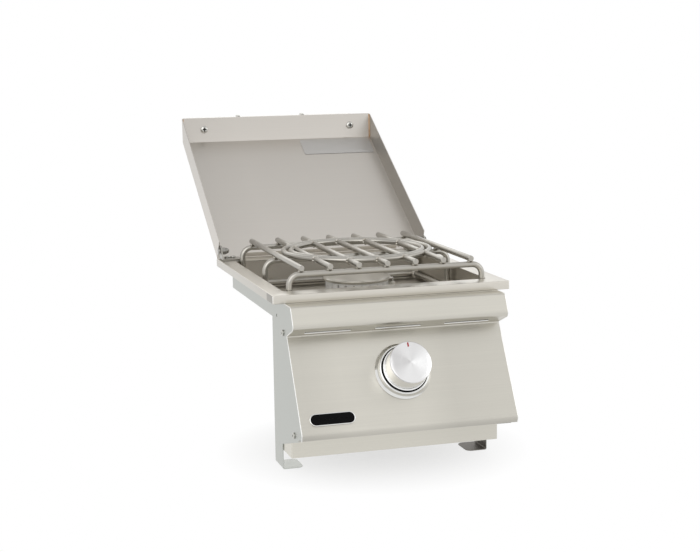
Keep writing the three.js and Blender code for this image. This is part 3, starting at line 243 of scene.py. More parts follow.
def loop(x0, y0, x1, y1, radius, per_corner=7):
    """The points of a rounded rectangle, anticlockwise from the front right corner."""
    corners = ((x1, y0, -1, 1, -90), (x1, y1, -1, -1, 0), (x0, y1, 1, -1, 90), (x0, y0, 1, 1, 180))
    runs = []
    for x, y, sx, sy, angle in corners:
        runs.append(arc((x + sx * radius, y + sy * radius), radius, angle, angle + 90, per_corner))
    return np.concatenate(runs)


def stacked(loops, heights):
    """Loops in plan at their heights, as rows of a grid."""
    heights = np.asarray(heights, float)
    level = np.broadcast_to(heights[:, None, None], (len(loops), len(loops[0]), 1))
    return np.concatenate([np.array(loops), level], 2)


def bent_line(corners, distance, steps=7):
    """The line at a distance to the left of a bent one whose corners are (a, b, radius)."""
    corners = np.asarray(corners, float)
    way = np.diff(corners[:, :2], axis=0)
    way /= np.linalg.norm(way, axis=1)[:, None]
    left = np.stack([-way[:, 1], way[:, 0]], 1)
    line = [corners[:1, :2] + left[:1] * distance]
    for (a, b, radius), before, after in zip(corners[1:-1], left, left[1:]):
        cross = before[0] * after[1] - before[1] * after[0]
        sign = np.sign(cross) if abs(cross) > WELD else 1.0
        angle = math.atan2(abs(cross), before @ after)
        middle = unit(before + after)
        centre = np.array([a, b]) + middle * sign * radius / math.cos(angle / 2)
        turn = sign * spread(0, angle, steps)[:, None] if angle > WELD else np.zeros((1, 1))
        across = np.array([-before[1], before[0]])
        ray = before * np.cos(turn) + across * np.sin(turn)
        line.append(centre + ray * (distance - sign * radius))
    return np.concatenate(line + [corners[-1:, :2] + left[-1:] * distance])


def carried(shape, origin, axes):
    """Moves a shape from its own three axes to the rim's."""
    points, faces = shape
    return points @ np.array(axes) + np.asarray(origin, float), faces


def square_to(direction):
    """Three axes at right angles, the third along the direction."""
    third = unit(np.asarray(direction, float))
    first = unit(np.cross(third, Z if abs(third[2]) < 0.9 else X))
    return first, np.cross(third, first), third


def block(low, high, corner=0.6, edge=0.3):
    """A box with round corners in plan and eased edges: inset loops at each height, closed at the middle."""
    (x0, y0, z0), (x1, y1, z1) = low, high
    ease = arc((edge, 0), edge, 180, 90, 4)
    inset = np.concatenate([ease[::-1, 0], ease[:, 0]])
    height = np.concatenate([z0 + edge - ease[::-1, 1], z1 - edge + ease[:, 1]])
    rings = [loop(x0 + i, y0 + i, x1 - i, y1 - i, max(corner - i, 0.05), 4) for i in inset]
    middle = np.broadcast_to([[(x0 + x1) / 2, (y0 + y1) / 2]], rings[0].shape)
    levels = np.concatenate([[z0], height, [z1]])
    return surface(stacked([middle, *rings, middle], levels), wrap_cols=True)


def across_x(line, stations):
    """A line in (y, z) repeated at each x station, as the rows and columns of a grid."""
    stations = np.asarray(stations, float)
    x = np.broadcast_to(stations[None, :, None], (len(line), len(stations), 1))
    yz = np.broadcast_to(line[:, None], (len(line), len(stations), 2))
    return np.concatenate([x, yz], 2)


print("shape helpers ready")

# %% [markdown]
# Shader maths reads best as formulas. A Reading wraps one output of a node, and + - * / and abs on it add
# Math nodes. A Finish holds one material: its Principled shader and one method that adds any other node.

# %% Formulas for shaders
class Reading:
    """One output of a shader node, which takes part in formulas."""

    def __init__(self, finish, socket):
        self.finish = finish
        self.socket = socket

    def _maths(self, operation, first, second):
        return self.finish.node("Math", {"operation": operation}, {0: first, 1: second})

    def __add__(self, other):
        return self._maths("ADD", self, other)

    def __radd__(self, other):
        return self._maths("ADD", other, self)

    def __sub__(self, other):
        return self._maths("SUBTRACT", self, other)

    def __rsub__(self, other):
        return self._maths("SUBTRACT", other, self)

    def __mul__(self, other):
        return self._maths("MULTIPLY", self, other)

    def __rmul__(self, other):
        return self._maths("MULTIPLY", other, self)

    def __truediv__(self, other):
        return self._maths("DIVIDE", self, other)

    def __rtruediv__(self, other):
        return self._maths("DIVIDE", other, self)

    def __abs__(self):
        return self.finish.node("Math", {"operation": "ABSOLUTE"}, {0: self})

    def clip(self):
        """The value held between 0 and 1."""
        return self.finish.node("Clamp", {}, {"Value": self})


class Finish:
    """One material: a Principled shader and the nodes that feed it."""

    def __init__(self, name, **constants):
        self.material = bpy.data.materials.new(name)
        self.material.use_nodes = True
        self.tree = self.material.node_tree
        self.tree.nodes.clear()
        self.shader = self.tree.nodes.new("ShaderNodeBsdfPrincipled")
        output = self.tree.nodes.new("ShaderNodeOutputMaterial")
        self.tree.links.new(self.shader.outputs[0], output.inputs[0])
        for socket, value in constants.items():
            self.shader.inputs[socket.replace("_", " ")].default_value = value

    def feed(self, socket, value):
        """Links a reading to a socket, or sets the socket to a plain value."""
        if isinstance(value, Reading):
            self.tree.links.new(value.socket, socket)
        else:
            socket.default_value = value

    def node(self, kind, settings=None, values=None, out=0):
        """Adds a node of a kind, with its settings first and then the values or links of its sockets."""
        node = self.tree.nodes.new("ShaderNode" + kind)
        for key, value in (settings or {}).items():
            setattr(node, key, value)
        for key, value in (values or {}).items():
            self.feed(node.inputs[key], value)
        return Reading(self, node.outputs[out])

    def here(self):
        """Object coordinates, in metres."""
        return self.node("TexCoord", out=3)

    def noise(self, scale, detail=2.0, stretch=(1, 1, 1)):
        """Noise from 0 to 1 on object coordinates, which are stretched first."""
        where = self.node("Mapping", {}, {"Vector": self.here(), "Scale": stretch})
        return self.node("TexNoise", {}, {"Vector": where, "Scale": scale, "Detail": detail})

    def blend(self, factor, low, high):
        """A colour between two colours."""
        values = {"Factor": factor, 6: low, 7: high}
        return self.node("Mix", {"data_type": "RGBA"}, values, out=2)

    def shape(self, height, depth, strength=1.0):
        """Bump from a height reading, whose full range is depth metres."""
        values = {"Height": height, "Distance": depth, "Strength": strength}
        self.give("Normal", self.node("Bump", {}, values))

    def give(self, socket, value):
        """Feeds one socket of the Principled shader."""
        self.feed(self.shader.inputs[socket], value)


def colour(red, green, blue):
    """An 8-bit display colour as the linear colour a shader takes."""
    display = np.array([red, green, blue]) / 255
    linear = np.where(display <= 0.04045, display / 12.92, ((display + 0.055) / 1.055) ** 2.4)
    return (*linear.tolist(), 1.0)


print("shader helpers ready")

# %% [markdown]
# Brushed stainless is clean metal whose surface is thousands of fine straight scratches. Up close they
# show as streaks along the brush; from a step away they only blur the reflection. So noise is stretched
# along the brushing, and it moves the roughness, a little colour and a very shallow bump. A second, broad
# noise adds the faint clouds that handling and rolling leave.

# %% Kinds of steel
BRUSHING = {"x": (6, 900, 900), "y": (900, 6, 900), "z": (900, 900, 6)}
STREAK_SHARE, STREAK_DEPTH, STREAK_BUMP, ROUGH_SPREAD = 0.6, 0.00002, 0.35, 0.1
CLOUD, CLOUD_SHARE, CLOUD_ROUGH, SHADE_EDGE, BAND_ROUGH = 9.0, 0.4, 0.06, 5000.0, 0.1
ROD_MARKS, ROD_HEAT, ROD_ROUGH, ROD_UNEVEN, ROD_BUMP = 700.0, 22.0, 0.26, 0.04, 0.1
WIPES, WIPE_ROUGH = 60.0, 0.08
DEEP, STREAK_DARK, STREAK_LIGHT, GRAIN_DARK, WIPE_DARK = 0.5, 0.9, 1.08, 0.93, 0.94
HEATED = (0.94, 0.93, 0.91)


def toned(base, share):
    """A colour with its three parts multiplied by a share, none above 1."""
    return (*(min(1.0, part * share) for part in base[:3]), 1.0)


def deepened(finish, tint, base, rule):
    """Paints shade: turns a tint toward half of the base colour as far as a rule of x, y and z in metres
    says.
    """
    place = finish.here()
    x, y, z = (finish.node("SeparateXYZ", {}, {0: place}, out=axis) for axis in range(3))
    return finish.blend(rule(x, y, z).clip(), tint, toned(base, DEEP))


def brushed(name, base, along="x", rough=0.32, metal=1.0, rule=None):
    """Stainless sheet brushed along one axis, with painted shade from a rule of place where one is given."""
    finish = Finish(name, Metallic=metal)
    streak = finish.noise(1.0, 3.0, BRUSHING[along])
    cloud = finish.noise(CLOUD, 3.0)
    tone = (STREAK_SHARE * streak + CLOUD_SHARE * cloud).clip()
    tint = finish.blend(tone, toned(base, STREAK_DARK), toned(base, STREAK_LIGHT))
    finish.give("Base Color", deepened(finish, tint, base, rule) if rule else tint)
    streaked = rough - ROUGH_SPREAD / 2 + ROUGH_SPREAD * streak
    finish.give("Roughness", streaked + CLOUD_ROUGH * (cloud - 0.5))
    finish.shape(streak, STREAK_DEPTH, STREAK_BUMP)
    return finish.material


def satin_rod(name, base):
    """Drawn rod: satin, with short marks all over and darker clouds from the heat."""
    finish = Finish(name, Metallic=1.0)
    mark = finish.noise(ROD_MARKS, 4.0)
    heat = finish.noise(ROD_HEAT, 3.0)
    warm = (*(part * share for part, share in zip(base, HEATED)), 1.0)
    finish.give("Base Color", finish.blend((1.6 * heat - 0.45).clip(), base, warm))
    finish.give("Roughness", ROD_ROUGH + ROD_UNEVEN * mark + ROD_UNEVEN * heat)
    finish.shape(mark, STREAK_DEPTH, ROD_BUMP)
    return finish.material


def polished(name, base, rough=0.08):
    """Polished metal: nearly a mirror, with faint wiping marks."""
    finish = Finish(name, Metallic=1.0)
    wipe = finish.noise(WIPES, 4.0, (1, 1, 4))
    finish.give("Base Color", finish.blend(wipe, toned(base, WIPE_DARK), base))
    finish.give("Roughness", rough + WIPE_ROUGH * wipe)
    return finish.material


def shaded_within(name, bare, shade_tone, along, rough, face, reach, rule=None):
    """Brushed sheet whose colour turns to a painted shade colour, with more roughness, where x is within a
    reach of a face; both are in metres.
    """
    finish = Finish(name, Metallic=1.0)
    streak = finish.noise(1.0, 3.0, BRUSHING[along])
    across = finish.node("SeparateXYZ", {}, {0: finish.here()})
    inside = ((reach - abs(across - face)) * SHADE_EDGE).clip()
    # dull is the painted shade colour, with the same streaks.
    light, dull = (finish.blend(streak, toned(base, GRAIN_DARK), base) for base in (bare, shade_tone))
    if rule:
        light = deepened(finish, light, bare, rule)
    finish.give("Base Color", finish.blend(inside, light, dull))
    finish.give("Roughness", rough - ROUGH_SPREAD / 2 + ROUGH_SPREAD * streak + BAND_ROUGH * inside)
    finish.shape(streak, STREAK_DEPTH, STREAK_BUMP)
    return finish.material


print("kinds of steel ready")

# %% [markdown]
# A face does not keep one tone from end to end, because each part of it mirrors another part of the room. So
# some sheets get painted shade from a rule of place that darkens their colour. Each rule is a sum of even
# rises, and a rise has a start, a length and a depth. They are metres of the object's own coordinates, so the
# painted tone stays on the metal when a part moves.

# %% Rules of place for painted shade
BRIGHT_AT, BRIGHT_HALF, END_FADE, END_DEEP = -0.034, 0.05, 0.05, 0.2
FOLD_AT, FOLD_FADE, FOOT_AT, FOOT_TALL, FOOT_DEEP = -0.042, 0.01, -0.1585, 0.0085, 0.32
LID_RISE_AT, LID_RISE, LID_RISE_DEEP = 0.01, 0.19, 0.28
LID_LEFT_AT, LID_LEFT, LID_LEFT_DEEP = -0.07, 0.08, 0.12
APRON_AT, APRON_FADE, APRON_DEEP = -0.03, 0.12, 0.18
SKIRT_AT, SKIRT_FADE, SKIRT_DEEP = 0.1645, 0.0004, 0.28
CORNER_AT, CORNER_FADE, CORNER_DEEP = -0.318, 0.004, 0.72
# Within a reach of the first face the right plate gets painted shade; within a reach of the second, the lid's
# flank.
PLATE_SHADE_FACE, PLATE_SHADE_REACH, LID_FACE, LID_REACH = 0.0957, 0.05, 0.1622, 0.0004


def above(value, start, length):
    """0 up to a start, 1 from a length above it, and even between."""
    return ((value - start) / length).clip()


def below(value, start, length):
    """0 down to a start, 1 from a length below it, and even between."""
    return ((start - value) / length).clip()


def panel_rule(x, y, z):
    """Painted shade: deeper toward the two ends of the face, and down the strip below the foot's bend."""
    ends = END_DEEP * above(abs(x - BRIGHT_AT), BRIGHT_HALF, END_FADE) * below(z, FOLD_AT, FOLD_FADE)
    return ends + FOOT_DEEP * below(z, FOOT_AT, FOOT_TALL)


def lid_rule(x, y, z):
    """Painted shade: deeper toward the top of the open lid, and a little toward its left side."""
    return LID_RISE_DEEP * above(z, LID_RISE_AT, LID_RISE) + LID_LEFT_DEEP * below(x, LID_LEFT_AT, LID_LEFT)


def apron_rule(x, y, z):
    """Painted shade: deeper toward the right end."""
    return APRON_DEEP * above(x, APRON_AT, APRON_FADE)


def rim_rule(x, y, z):
    """Painted shade: deeper on the two side skirts, most of all beside the front corners."""
    side = above(abs(x), SKIRT_AT, SKIRT_FADE)
    return side * (SKIRT_DEEP + CORNER_DEEP * below(y, CORNER_AT, CORNER_FADE))


print("rules ready")

# %% [markdown]
# The sheets and rods come from different mills and were finished in different ways, so each has a colour and
# a roughness of its own; some sheets also carry painted shade. The screws' recesses get painted shade, as
# deep as the number kept with their points says.

# %% Steels
PANEL = colour(206, 203, 194)
PLATE = colour(187, 189, 184)
# The next colour is a painted shade for the right plate's inner face and foot.
PLATE_SHADE = colour(112, 108, 102)
LID = colour(223, 218, 211)
APRON = colour(214, 211, 201)
LID_SHADE = colour(176, 172, 166)
RIM = colour(213, 209, 200)
PAN = colour(205, 200, 191)
ROD_STEEL = colour(178, 175, 168)
BRIGHT = colour(226, 226, 224)
SCREW = colour(196, 195, 190)

steel_panel = brushed("steel_panel", PANEL, "x", 0.34, rule=panel_rule)
steel_apron = brushed("steel_apron", APRON, "x", 0.34, rule=apron_rule)
steel_plate = brushed("steel_plate", PLATE, "z", 0.36)
# The right plate's inner face and foot get painted shade.
steel_plate_right = shaded_within("steel_plate_right", PLATE, PLATE_SHADE, "z", 0.38, PLATE_SHADE_FACE, PLATE_SHADE_REACH)
steel_lid = shaded_within("steel_lid", LID, LID_SHADE, "x", 0.36, LID_FACE, LID_REACH, lid_rule)
steel_rim = brushed("steel_rim", RIM, "x", 0.3, rule=rim_rule)
steel_pan = brushed("steel_pan", PAN, "y", 0.3)
steel_rod = satin_rod("steel_rod", ROD_STEEL)
steel_cap = brushed("steel_cap", colour(205, 201, 191), "x", 0.3)
steel_drum = brushed("steel_drum", colour(246, 245, 242), "z", 0.3, metal=0.1)
steel_hinge = brushed("steel_hinge", colour(168, 165, 158), "y", 0.3)
steel_bright = polished("steel_bright", BRIGHT)
steel_knob = polished("steel_knob", colour(246, 246, 245), 0.12)
steel_nut = polished("steel_nut", colour(150, 148, 143), 0.1)
steel_handle = brushed("steel_handle", colour(200, 198, 192), "x", 0.2)
# Painted highlight: a bright steel for bars that stand in for highlights along edges.
steel_highlight = brushed("steel_highlight", colour(244, 244, 242), "x", 0.4)

screws = Finish("steel_screw", Metallic=1.0)
recess_shade = screws.node("Attribute", {"attribute_name": "hollow"}, out=2)
# Painted shade in the cross recess: the colour turns dark as deep as the point lies.
screws.give("Base Color", screws.blend(recess_shade, SCREW, colour(38, 36, 34)))
screws.give("Roughness", 0.14 + 0.3 * recess_shade + 0.1 * screws.noise(500.0, 3.0))
steel_screw = screws.material
print("steels", len(bpy.data.materials))

# %% [markdown]
# The small parts have their own stuff: machined brass, rough casting, glazed ceramic, sleeve rubber,
# moulded plastic, black enamel, red paint and matt foil. Each has its own grain at its own scale.

# %% Small materials
def grained(name, base, rough, grain, depth, metal=0.0, mottle=0.12, **constants):
    """A material with fine grain: mottled colour, uneven roughness and a small bump."""
    finish = Finish(name, Metallic=metal, **constants)
    fine = finish.noise(grain, 4.0)
    broad = finish.noise(grain / 12, 2.0)
    finish.give("Base Color", finish.blend((0.5 * fine + 0.5 * broad).clip(), toned(base, 1 - mottle), base))
    finish.give("Roughness", rough - 0.06 + 0.12 * fine)
    finish.shape(fine, depth, 0.5)
    return finish.material


brass = grained("brass_machined", colour(196, 164, 98), 0.26, 900.0, 0.00002, metal=1.0)
casting = grained("casting_rough", colour(120, 116, 108), 0.55, 420.0, 0.00025, metal=0.8, mottle=0.3)
ceramic = grained("ceramic_glazed", colour(232, 228, 216), 0.25, 300.0, 0.00003, Coat_Weight=0.4)
sleeve = grained("wire_sleeve", colour(38, 38, 40), 0.55, 1200.0, 0.00004)
moulded = grained("igniter_moulded", colour(34, 34, 36), 0.45, 1500.0, 0.00004)
enamel = grained("nameplate_enamel", colour(13, 13, 14), 0.3, 500.0, 0.00001, Specular_IOR_Level=0.06)
red_paint = grained("index_paint", colour(178, 26, 30), 0.35, 700.0, 0.00002, Coat_Weight=0.3)
foil = grained("data_foil", colour(200, 198, 195), 0.5, 160.0, 0.00003, metal=0.55, mottle=0.08)
# Painted shadow: a black for the bezel's well and the knob's neck.
shadow_black = grained("painted_shadow_black", colour(14, 14, 14), 0.7, 900.0, 0.00002, Specular_IOR_Level=0.2)
print("small materials ready")

# %% [markdown]
# The rim is the flange that hangs the burner on the counter. It is a frame of sheet: a flat deck round the
# opening, a crown bend, a skirt, and a hem turned in below. Its section is one bent line, and each point
# of that line becomes a rounded rectangle; the opening is the first of them.

# %% Rim
RIM_HALF, RIM_DEPTH, SKIRT, HEM, CROWN, RIM_CORNER = 165.0, 355.0, 11.5, 8.0, 1.4, 3.0
OPEN_HALF, OPEN_FRONT, OPEN_BACK, OPEN_CORNER = 143.5, 29.8, 318.5, 6.0
EASE = 0.22


def rim_skin(distance):
    """The rim's section at a distance inside its outer face, as rounded rectangles at their heights."""
    section = [(HEM, 0, 0), (0, 0, CROWN), (0, -SKIRT, CROWN), (HEM, -SKIRT, 0)]
    line = bent_line(section, distance, 6)[1:]
    rings = [loop(-OPEN_HALF, OPEN_FRONT, OPEN_HALF, OPEN_BACK, OPEN_CORNER)]
    for inset, _ in line:
        corner = max(RIM_CORNER - inset, 0.3)
        rings.append(loop(inset - RIM_HALF, inset, RIM_HALF - inset, RIM_DEPTH - inset, corner))
    return stacked(rings, np.concatenate([[-distance], line[:, 1]]))


build("rim", sheet(rim_skin(0), rim_skin(SHEET), wrap=True), "housing", steel_rim,
      ["top_rim"], EASE)

# %% [markdown]
# The pan is drawn from one sheet: upright walls, a soft bend at the foot and a flat floor with a round hole
# for the burner's neck. The same rounded rectangles shrink down the wall and round the bend, and the last
# one flows into the circle of the hole.

# %% Pan
PAN_LIP, PAN_WALL, PAN_TOP, PAN_FLOOR, PAN_BEND = 0.4, 1.0, -1.5, -41.0, 3.5
BURNER_Y, NECK_HOLE = 168.0, 14.9


def pan_skin(outward):
    """Wall, foot bend and floor of one side of the pan's sheet, ending on the hole's circle."""
    x = OPEN_HALF + PAN_LIP + outward
    front, back = OPEN_FRONT - PAN_LIP - outward, OPEN_BACK + PAN_LIP + outward
    corner, bend, floor = OPEN_CORNER + PAN_LIP + outward, PAN_BEND + outward, PAN_FLOOR - outward
    foot = arc((bend, floor + bend), bend, 180, 270, 7)
    inset = np.concatenate([[0], foot[:, 0]])
    rings = [loop(i - x, front + i, x - i, back - i, corner - i) for i in inset]
    angle = np.arctan2(rings[-1][:, 1] - BURNER_Y, rings[-1][:, 0])
    hole = np.stack([np.cos(angle), np.sin(angle)], 1) * NECK_HOLE + (0, BURNER_Y)
    rings += [(2 * rings[-1] + hole) / 3, (rings[-1] + 2 * hole) / 3, hole]
    return stacked(rings, np.concatenate([[PAN_TOP], foot[:, 1], [floor] * 3]))


build("pan", sheet(pan_skin(PAN_WALL), pan_skin(0), wrap=True), "housing", steel_pan, ["burner_pan"])

# %% [markdown]
# The front panel is one sheet folded five times: a top flange, a nose, a fold, the sloping panel and a
# return below. Three air slots are cut under the nose. The section is a line with round bends, repeated at
# x stations; the slots are left-out cells between two rows that lie on the slots' edges.

# %% Front panel
FRONT_HALF = 147.7
FRONT_LINE = [(28.1, -12.4, 0), (-24, -12.4, 4), (-38, -39.6, 7), (-2.5, -53.7, 2), (-70.3, -170, 5),
              (-68.5, -177.5, 2), (-50, -182.4, 0)]
BEND_STEPS = 9
FOLD_START = 2 * BEND_STEPS + 1
SLOT_LENGTH, SLOT_WIDTH, SLOT_PITCH, SLOT_SHARE = 62.5, 6.0, 96.0, 0.58
SLOT_TIP, SLOT_FOLD = np.array(FRONT_LINE[2][:2]), np.array(FRONT_LINE[3][:2])
SLOT_WAY = unit(SLOT_FOLD - SLOT_TIP)
SLOT_MIDDLE = SLOT_TIP + (SLOT_FOLD - SLOT_TIP) * SLOT_SHARE
SLOT_EDGES = np.array([SLOT_MIDDLE - SLOT_WAY * SLOT_WIDTH / 2, SLOT_MIDDLE + SLOT_WAY * SLOT_WIDTH / 2])
CLEAT, CLEAT_OUT = 2.0, 144.9
CLEAT_UPPER = [(12.1, -13.0), (12.1, -62.5), (27.1, -62.5), (27.1, -13.0)]
CLEAT_LOWER = [(-50.5, -159.5), (-59, -180), (-51.2, -181.8), (-18.3, -185.9), (-18.3, -161.9)]


def front_skin(distance, stations):
    """The panel's section at a distance inside its outer face, with a row on each edge of the slots."""
    line = bent_line(FRONT_LINE, distance, BEND_STEPS)
    edges = SLOT_EDGES + np.array([-SLOT_WAY[1], SLOT_WAY[0]]) * distance
    return across_x(np.insert(line, FOLD_START, edges, axis=0), stations)


def slab(corners, low, high):
    """A flat plate between two x places, from its corners in (y, z)."""
    corners = np.array(corners, float)
    middle = np.broadcast_to(corners.mean(0), corners.shape)
    places = ((middle, low), (corners, low), (corners, high), (middle, high))
    rows = [across_x(face, [x])[:, 0] for face, x in places]
    return surface(np.array(rows), wrap_cols=True)


slot_ends = [k * SLOT_PITCH + side * SLOT_LENGTH / 2 for k in (-1, 0, 1) for side in (-1, 1)]
stations = np.array([-FRONT_HALF, *slot_ends, FRONT_HALF])
outer, inner = front_skin(0, stations), front_skin(SHEET, stations)
keep = np.ones((len(outer) - 1, len(stations) - 1), bool)
keep[FOLD_START, 1::2] = False
cleats = [slab(shape, *ends) for shape in (CLEAT_UPPER, CLEAT_LOWER)
          for ends in ((CLEAT_OUT - CLEAT, CLEAT_OUT), (-CLEAT_OUT, CLEAT - CLEAT_OUT))]
build("front_panel", together(sheet(outer, inner, keep), *cleats), "housing", steel_panel,
      ["fascia"], EASE)

# %% [markdown]
# A painted highlight runs along the slots' lower edges as three bright lines. Each is a slim bar of bright
# steel laid along the edge, half sunk in the sheet.

# %% Painted highlights on the slots' edges
EDGE_BAR = 1.1
slot_bars = [bar((start, *SLOT_EDGES[1]), (end, *SLOT_EDGES[1]), EDGE_BAR, sides=16, lip=0.3)
             for start, end in zip(slot_ends[0::2], slot_ends[1::2])]
build("slot_edges", together(*slot_bars), "housing", steel_highlight)

# %% [markdown]
# A painted highlight shows as a fine bright line down the nose at each end of the panel. A thin round bar of
# bright steel follows the panel's section along each end.

# %% Painted highlights on the panel's ends
END_BAR, END_IN = 0.55, 0.3
end_line = bent_line(FRONT_LINE, 0, BEND_STEPS)[:-1]
end_heads = np.gradient(end_line, axis=0)
end_heads /= np.linalg.norm(end_heads, axis=1)[:, None]
end_bars = [swept(np.insert(end_line, 0, side * (FRONT_HALF - END_IN), axis=1),
                  np.insert(end_heads, 0, 0, axis=1), END_BAR, sides=10, lip=0.2) for side in (-1, 1)]
build("panel_ends", together(*end_bars), "housing", steel_highlight)

# %% [markdown]
# The panel's top flange is joined to the rim's skirt from below by a fine ground seam, so only a soft line
# shows between them. The seam is a slim bar, set back a little from the skirt's face.

# %% Seam under the rim
SEAM_HALF, SEAM_BACK, SEAM_FRONT, SEAM_ROOM = 147.2, 1.1, 0.2, 0.03
seam = block((-SEAM_HALF, SEAM_FRONT, FRONT_LINE[0][1] + SEAM_ROOM),
             (SEAM_HALF, SEAM_BACK, -SKIRT - SEAM_ROOM), corner=0.2, edge=0.1)
build("rim_seam", seam, "housing", steel_rim)

# %% [markdown]
# The rim's front corners are welded, and each shows a painted highlight as a bright upright line. A thin
# round bar of bright steel, nearly all of it inside the sheet, gives the line.

# %% Painted highlights on the rim's corners
CORNER_BAR, CORNER_PROUD = 0.7, 0.15
corner_in = RIM_CORNER * (1 - math.sqrt(0.5)) + (CORNER_BAR - CORNER_PROUD) * math.sqrt(0.5)
corner_x = RIM_HALF - corner_in
corner_bars = [bar((side * corner_x, corner_in, -SKIRT + CROWN), (side * corner_x, corner_in, -CROWN),
                   CORNER_BAR, sides=16, lip=0.3) for side in (-1, 1)]
build("rim_corners", together(*corner_bars), "housing", steel_highlight)

# %% [markdown]
# The apron ties the two legs together below the panel. Its ends are bent back along the legs.

# %% Apron
APRON_HALF, APRON_FRONT, APRON_BACK, APRON_LOW, APRON_HIGH = 144.9, -5.0, 79.2, -216.7, -174.0
APRON_LINE = [(APRON_HALF, APRON_BACK, 0), (APRON_HALF, APRON_FRONT, 2), (-APRON_HALF, APRON_FRONT, 2),
              (-APRON_HALF, APRON_BACK, 0)]


def apron_skin(distance):
    """The apron's plan line at a distance inside, at four heights."""
    line = bent_line(APRON_LINE, -distance, BEND_STEPS)
    return stacked([line] * 4, spread(APRON_LOW, APRON_HIGH, 4))


build("apron", sheet(apron_skin(0), apron_skin(SHEET)), "housing", steel_apron,
      ["lower_apron"], EASE)

# %% [markdown]
# Pan-head screws hold the panel, the hinges, the burner and the handle. A head is a shallow dome; the cross
# is pressed into it as a height that drops wherever either arm of the cross is. The four that hold the
# panel come in through the side plates.

# %% Screws
HEAD, HEAD_HIGH, SHANK, SHANK_LONG = 4.2, 2.4, 2.0, 9.0
CROSS_ARM_SHARE, CROSS_WIDTH_SHARE, CROSS_DEPTH_SHARE, CROSS_SOFT_SHARE = 0.55, 0.26, 0.6, 0.035
PLATE_OUT = 146.4
SCREW_PLACES = (("upper", (21.1, -53.5)), ("lower", (-27.3, -179.9)))


def screw(place, toward, head=HEAD, high=HEAD_HIGH, shank=SHANK, long=SHANK_LONG):
    """Dome minus a cross: z = high (1 - 0.5 share^4), less the depth inside either arm, then the shank.
    Returns the shape and, for each point, how far inside the cross it lies."""
    share = np.concatenate([spread(0, 0.94, 26), [0.98, 1.0]])[:, None]
    angle = full_turn(64)[None]
    x, y = head * share * np.cos(angle), head * share * np.sin(angle)
    soft = CROSS_SOFT_SHARE * head

    def arm(a, b):
        inside = np.clip((CROSS_WIDTH_SHARE * head / 2 - np.abs(b)) / soft + 0.5, 0, 1)
        return inside * np.clip((CROSS_ARM_SHARE * head - np.abs(a)) / soft, 0, 1)

    cross = np.maximum(arm(x, y), arm(y, x))
    z = high * (1 - 0.5 * share ** 4) - CROSS_DEPTH_SHARE * high * cross
    top = np.stack([x, y, z], 2)
    under = [(head, high * 0.25), (head * 0.97, 0), (shank, 0), (shank, -long), (0, -long)]
    rings = [np.stack([r * np.cos(angle[0]), r * np.sin(angle[0]), np.full(angle.shape[1], h)], 1)
             for r, h in under]
    shape = surface(np.concatenate([top, np.array(rings)]), wrap_cols=True)
    hollow = np.concatenate([cross.ravel(), np.zeros(len(rings) * angle.shape[1])])
    return carried(shape, place, square_to(toward)), hollow


def put_screw(name, node, place, toward, **sizes):
    """Builds a screw of the housing that stands for a node."""
    shape, hollow = screw(place, toward, **sizes)
    build(name, shape, "housing", steel_screw, [node], hollow=hollow)


for level, (y, z) in SCREW_PLACES:
    for side_name, side in SIDES:
        node = f"fascia_screw_{side_name}_{level}"
        put_screw(f"{node}_head", node, (side * (PLATE_OUT + GAP), y, z), X * side)

# %% [markdown]
# The knob's axis is square to the panel, so everything on it is turned about one line. A frame on the panel
# gives its directions: across, up the panel and outward.

# %% Axes of the panel
down = unit(np.array(FRONT_LINE[4][:2]) - SLOT_FOLD)
PANEL_OUT = np.array([0, down[1], -down[0]])
PANEL_UP = np.array([0, -down[0], -down[1]])
PANEL_AXES = (X, PANEL_UP, PANEL_OUT)
KNOB_DOWN = 60.0


def on_panel(x, distance):
    """A place on the panel's face, at a distance down from its fold."""
    return np.array([x, *(SLOT_FOLD + down * distance)])


def about_knob(profile, steps=96):
    """A profile turned about the knob's axis, with its heights counted from the panel's face."""
    return turned(profile, KNOB_AT, PANEL_AXES, steps)


KNOB_AT = on_panel(0, KNOB_DOWN)
print("panel looks toward", PANEL_OUT.round(3))

# %% [markdown]
# The bezel is spun from sheet and chromed: a flared skirt, a round crest and a lip that drops inside, with a
# black ring of painted shadow in its well. The knob is a deep cap that widens toward the panel. Both are
# turned profiles, and their bends are arcs, because a mirror finish shows every corner in its reflections.

# %% Bezel and the painted shadow in its well
BEZEL_OUT, BEZEL_IN, BEZEL_HIGH, CREST, BEZEL_EDGE = 38.0, 31.3, 11.0, 34.2, 2.0
CREST_ROUND = (CREST - BEZEL_IN) / 2
flare = spread(0, 1, 16)
flare_line = np.stack([CREST + (BEZEL_OUT - CREST) * (1 - np.sin(flare * math.pi / 2)) ** 1.2,
                       BEZEL_EDGE + (BEZEL_HIGH - CREST_ROUND - BEZEL_EDGE) * flare], 1)
crest_line = arc((CREST - CREST_ROUND, BEZEL_HIGH - CREST_ROUND), CREST_ROUND, 0, 180, 14)
bezel_line = np.concatenate([[(BEZEL_IN, GAP), (BEZEL_OUT - GAP, GAP), (BEZEL_OUT, 2 * GAP)], flare_line,
                             crest_line, [(BEZEL_IN, GAP)]])
build("bezel", about_knob(bezel_line, 128), "housing", steel_bright, ["knob_bezel"])
# A black ring of painted shadow fills the well, where the bore lies in shade.
STEM_ROOM, SHADOW_RING, SHADOW_RING_HIGH = 5.2, 0.5, 3.0
shadow_ring_out = BEZEL_IN - SHADOW_RING / 10
shadow_ring_line = [(STEM_ROOM, GAP), (shadow_ring_out, GAP), (shadow_ring_out, SHADOW_RING_HIGH), (shadow_ring_out - SHADOW_RING, SHADOW_RING_HIGH),
              (shadow_ring_out - SHADOW_RING, GAP + SHADOW_RING), (STEM_ROOM, GAP + SHADOW_RING), (STEM_ROOM, GAP)]
build("bezel_shadow_ring", about_knob(shadow_ring_line), "housing", shadow_black)
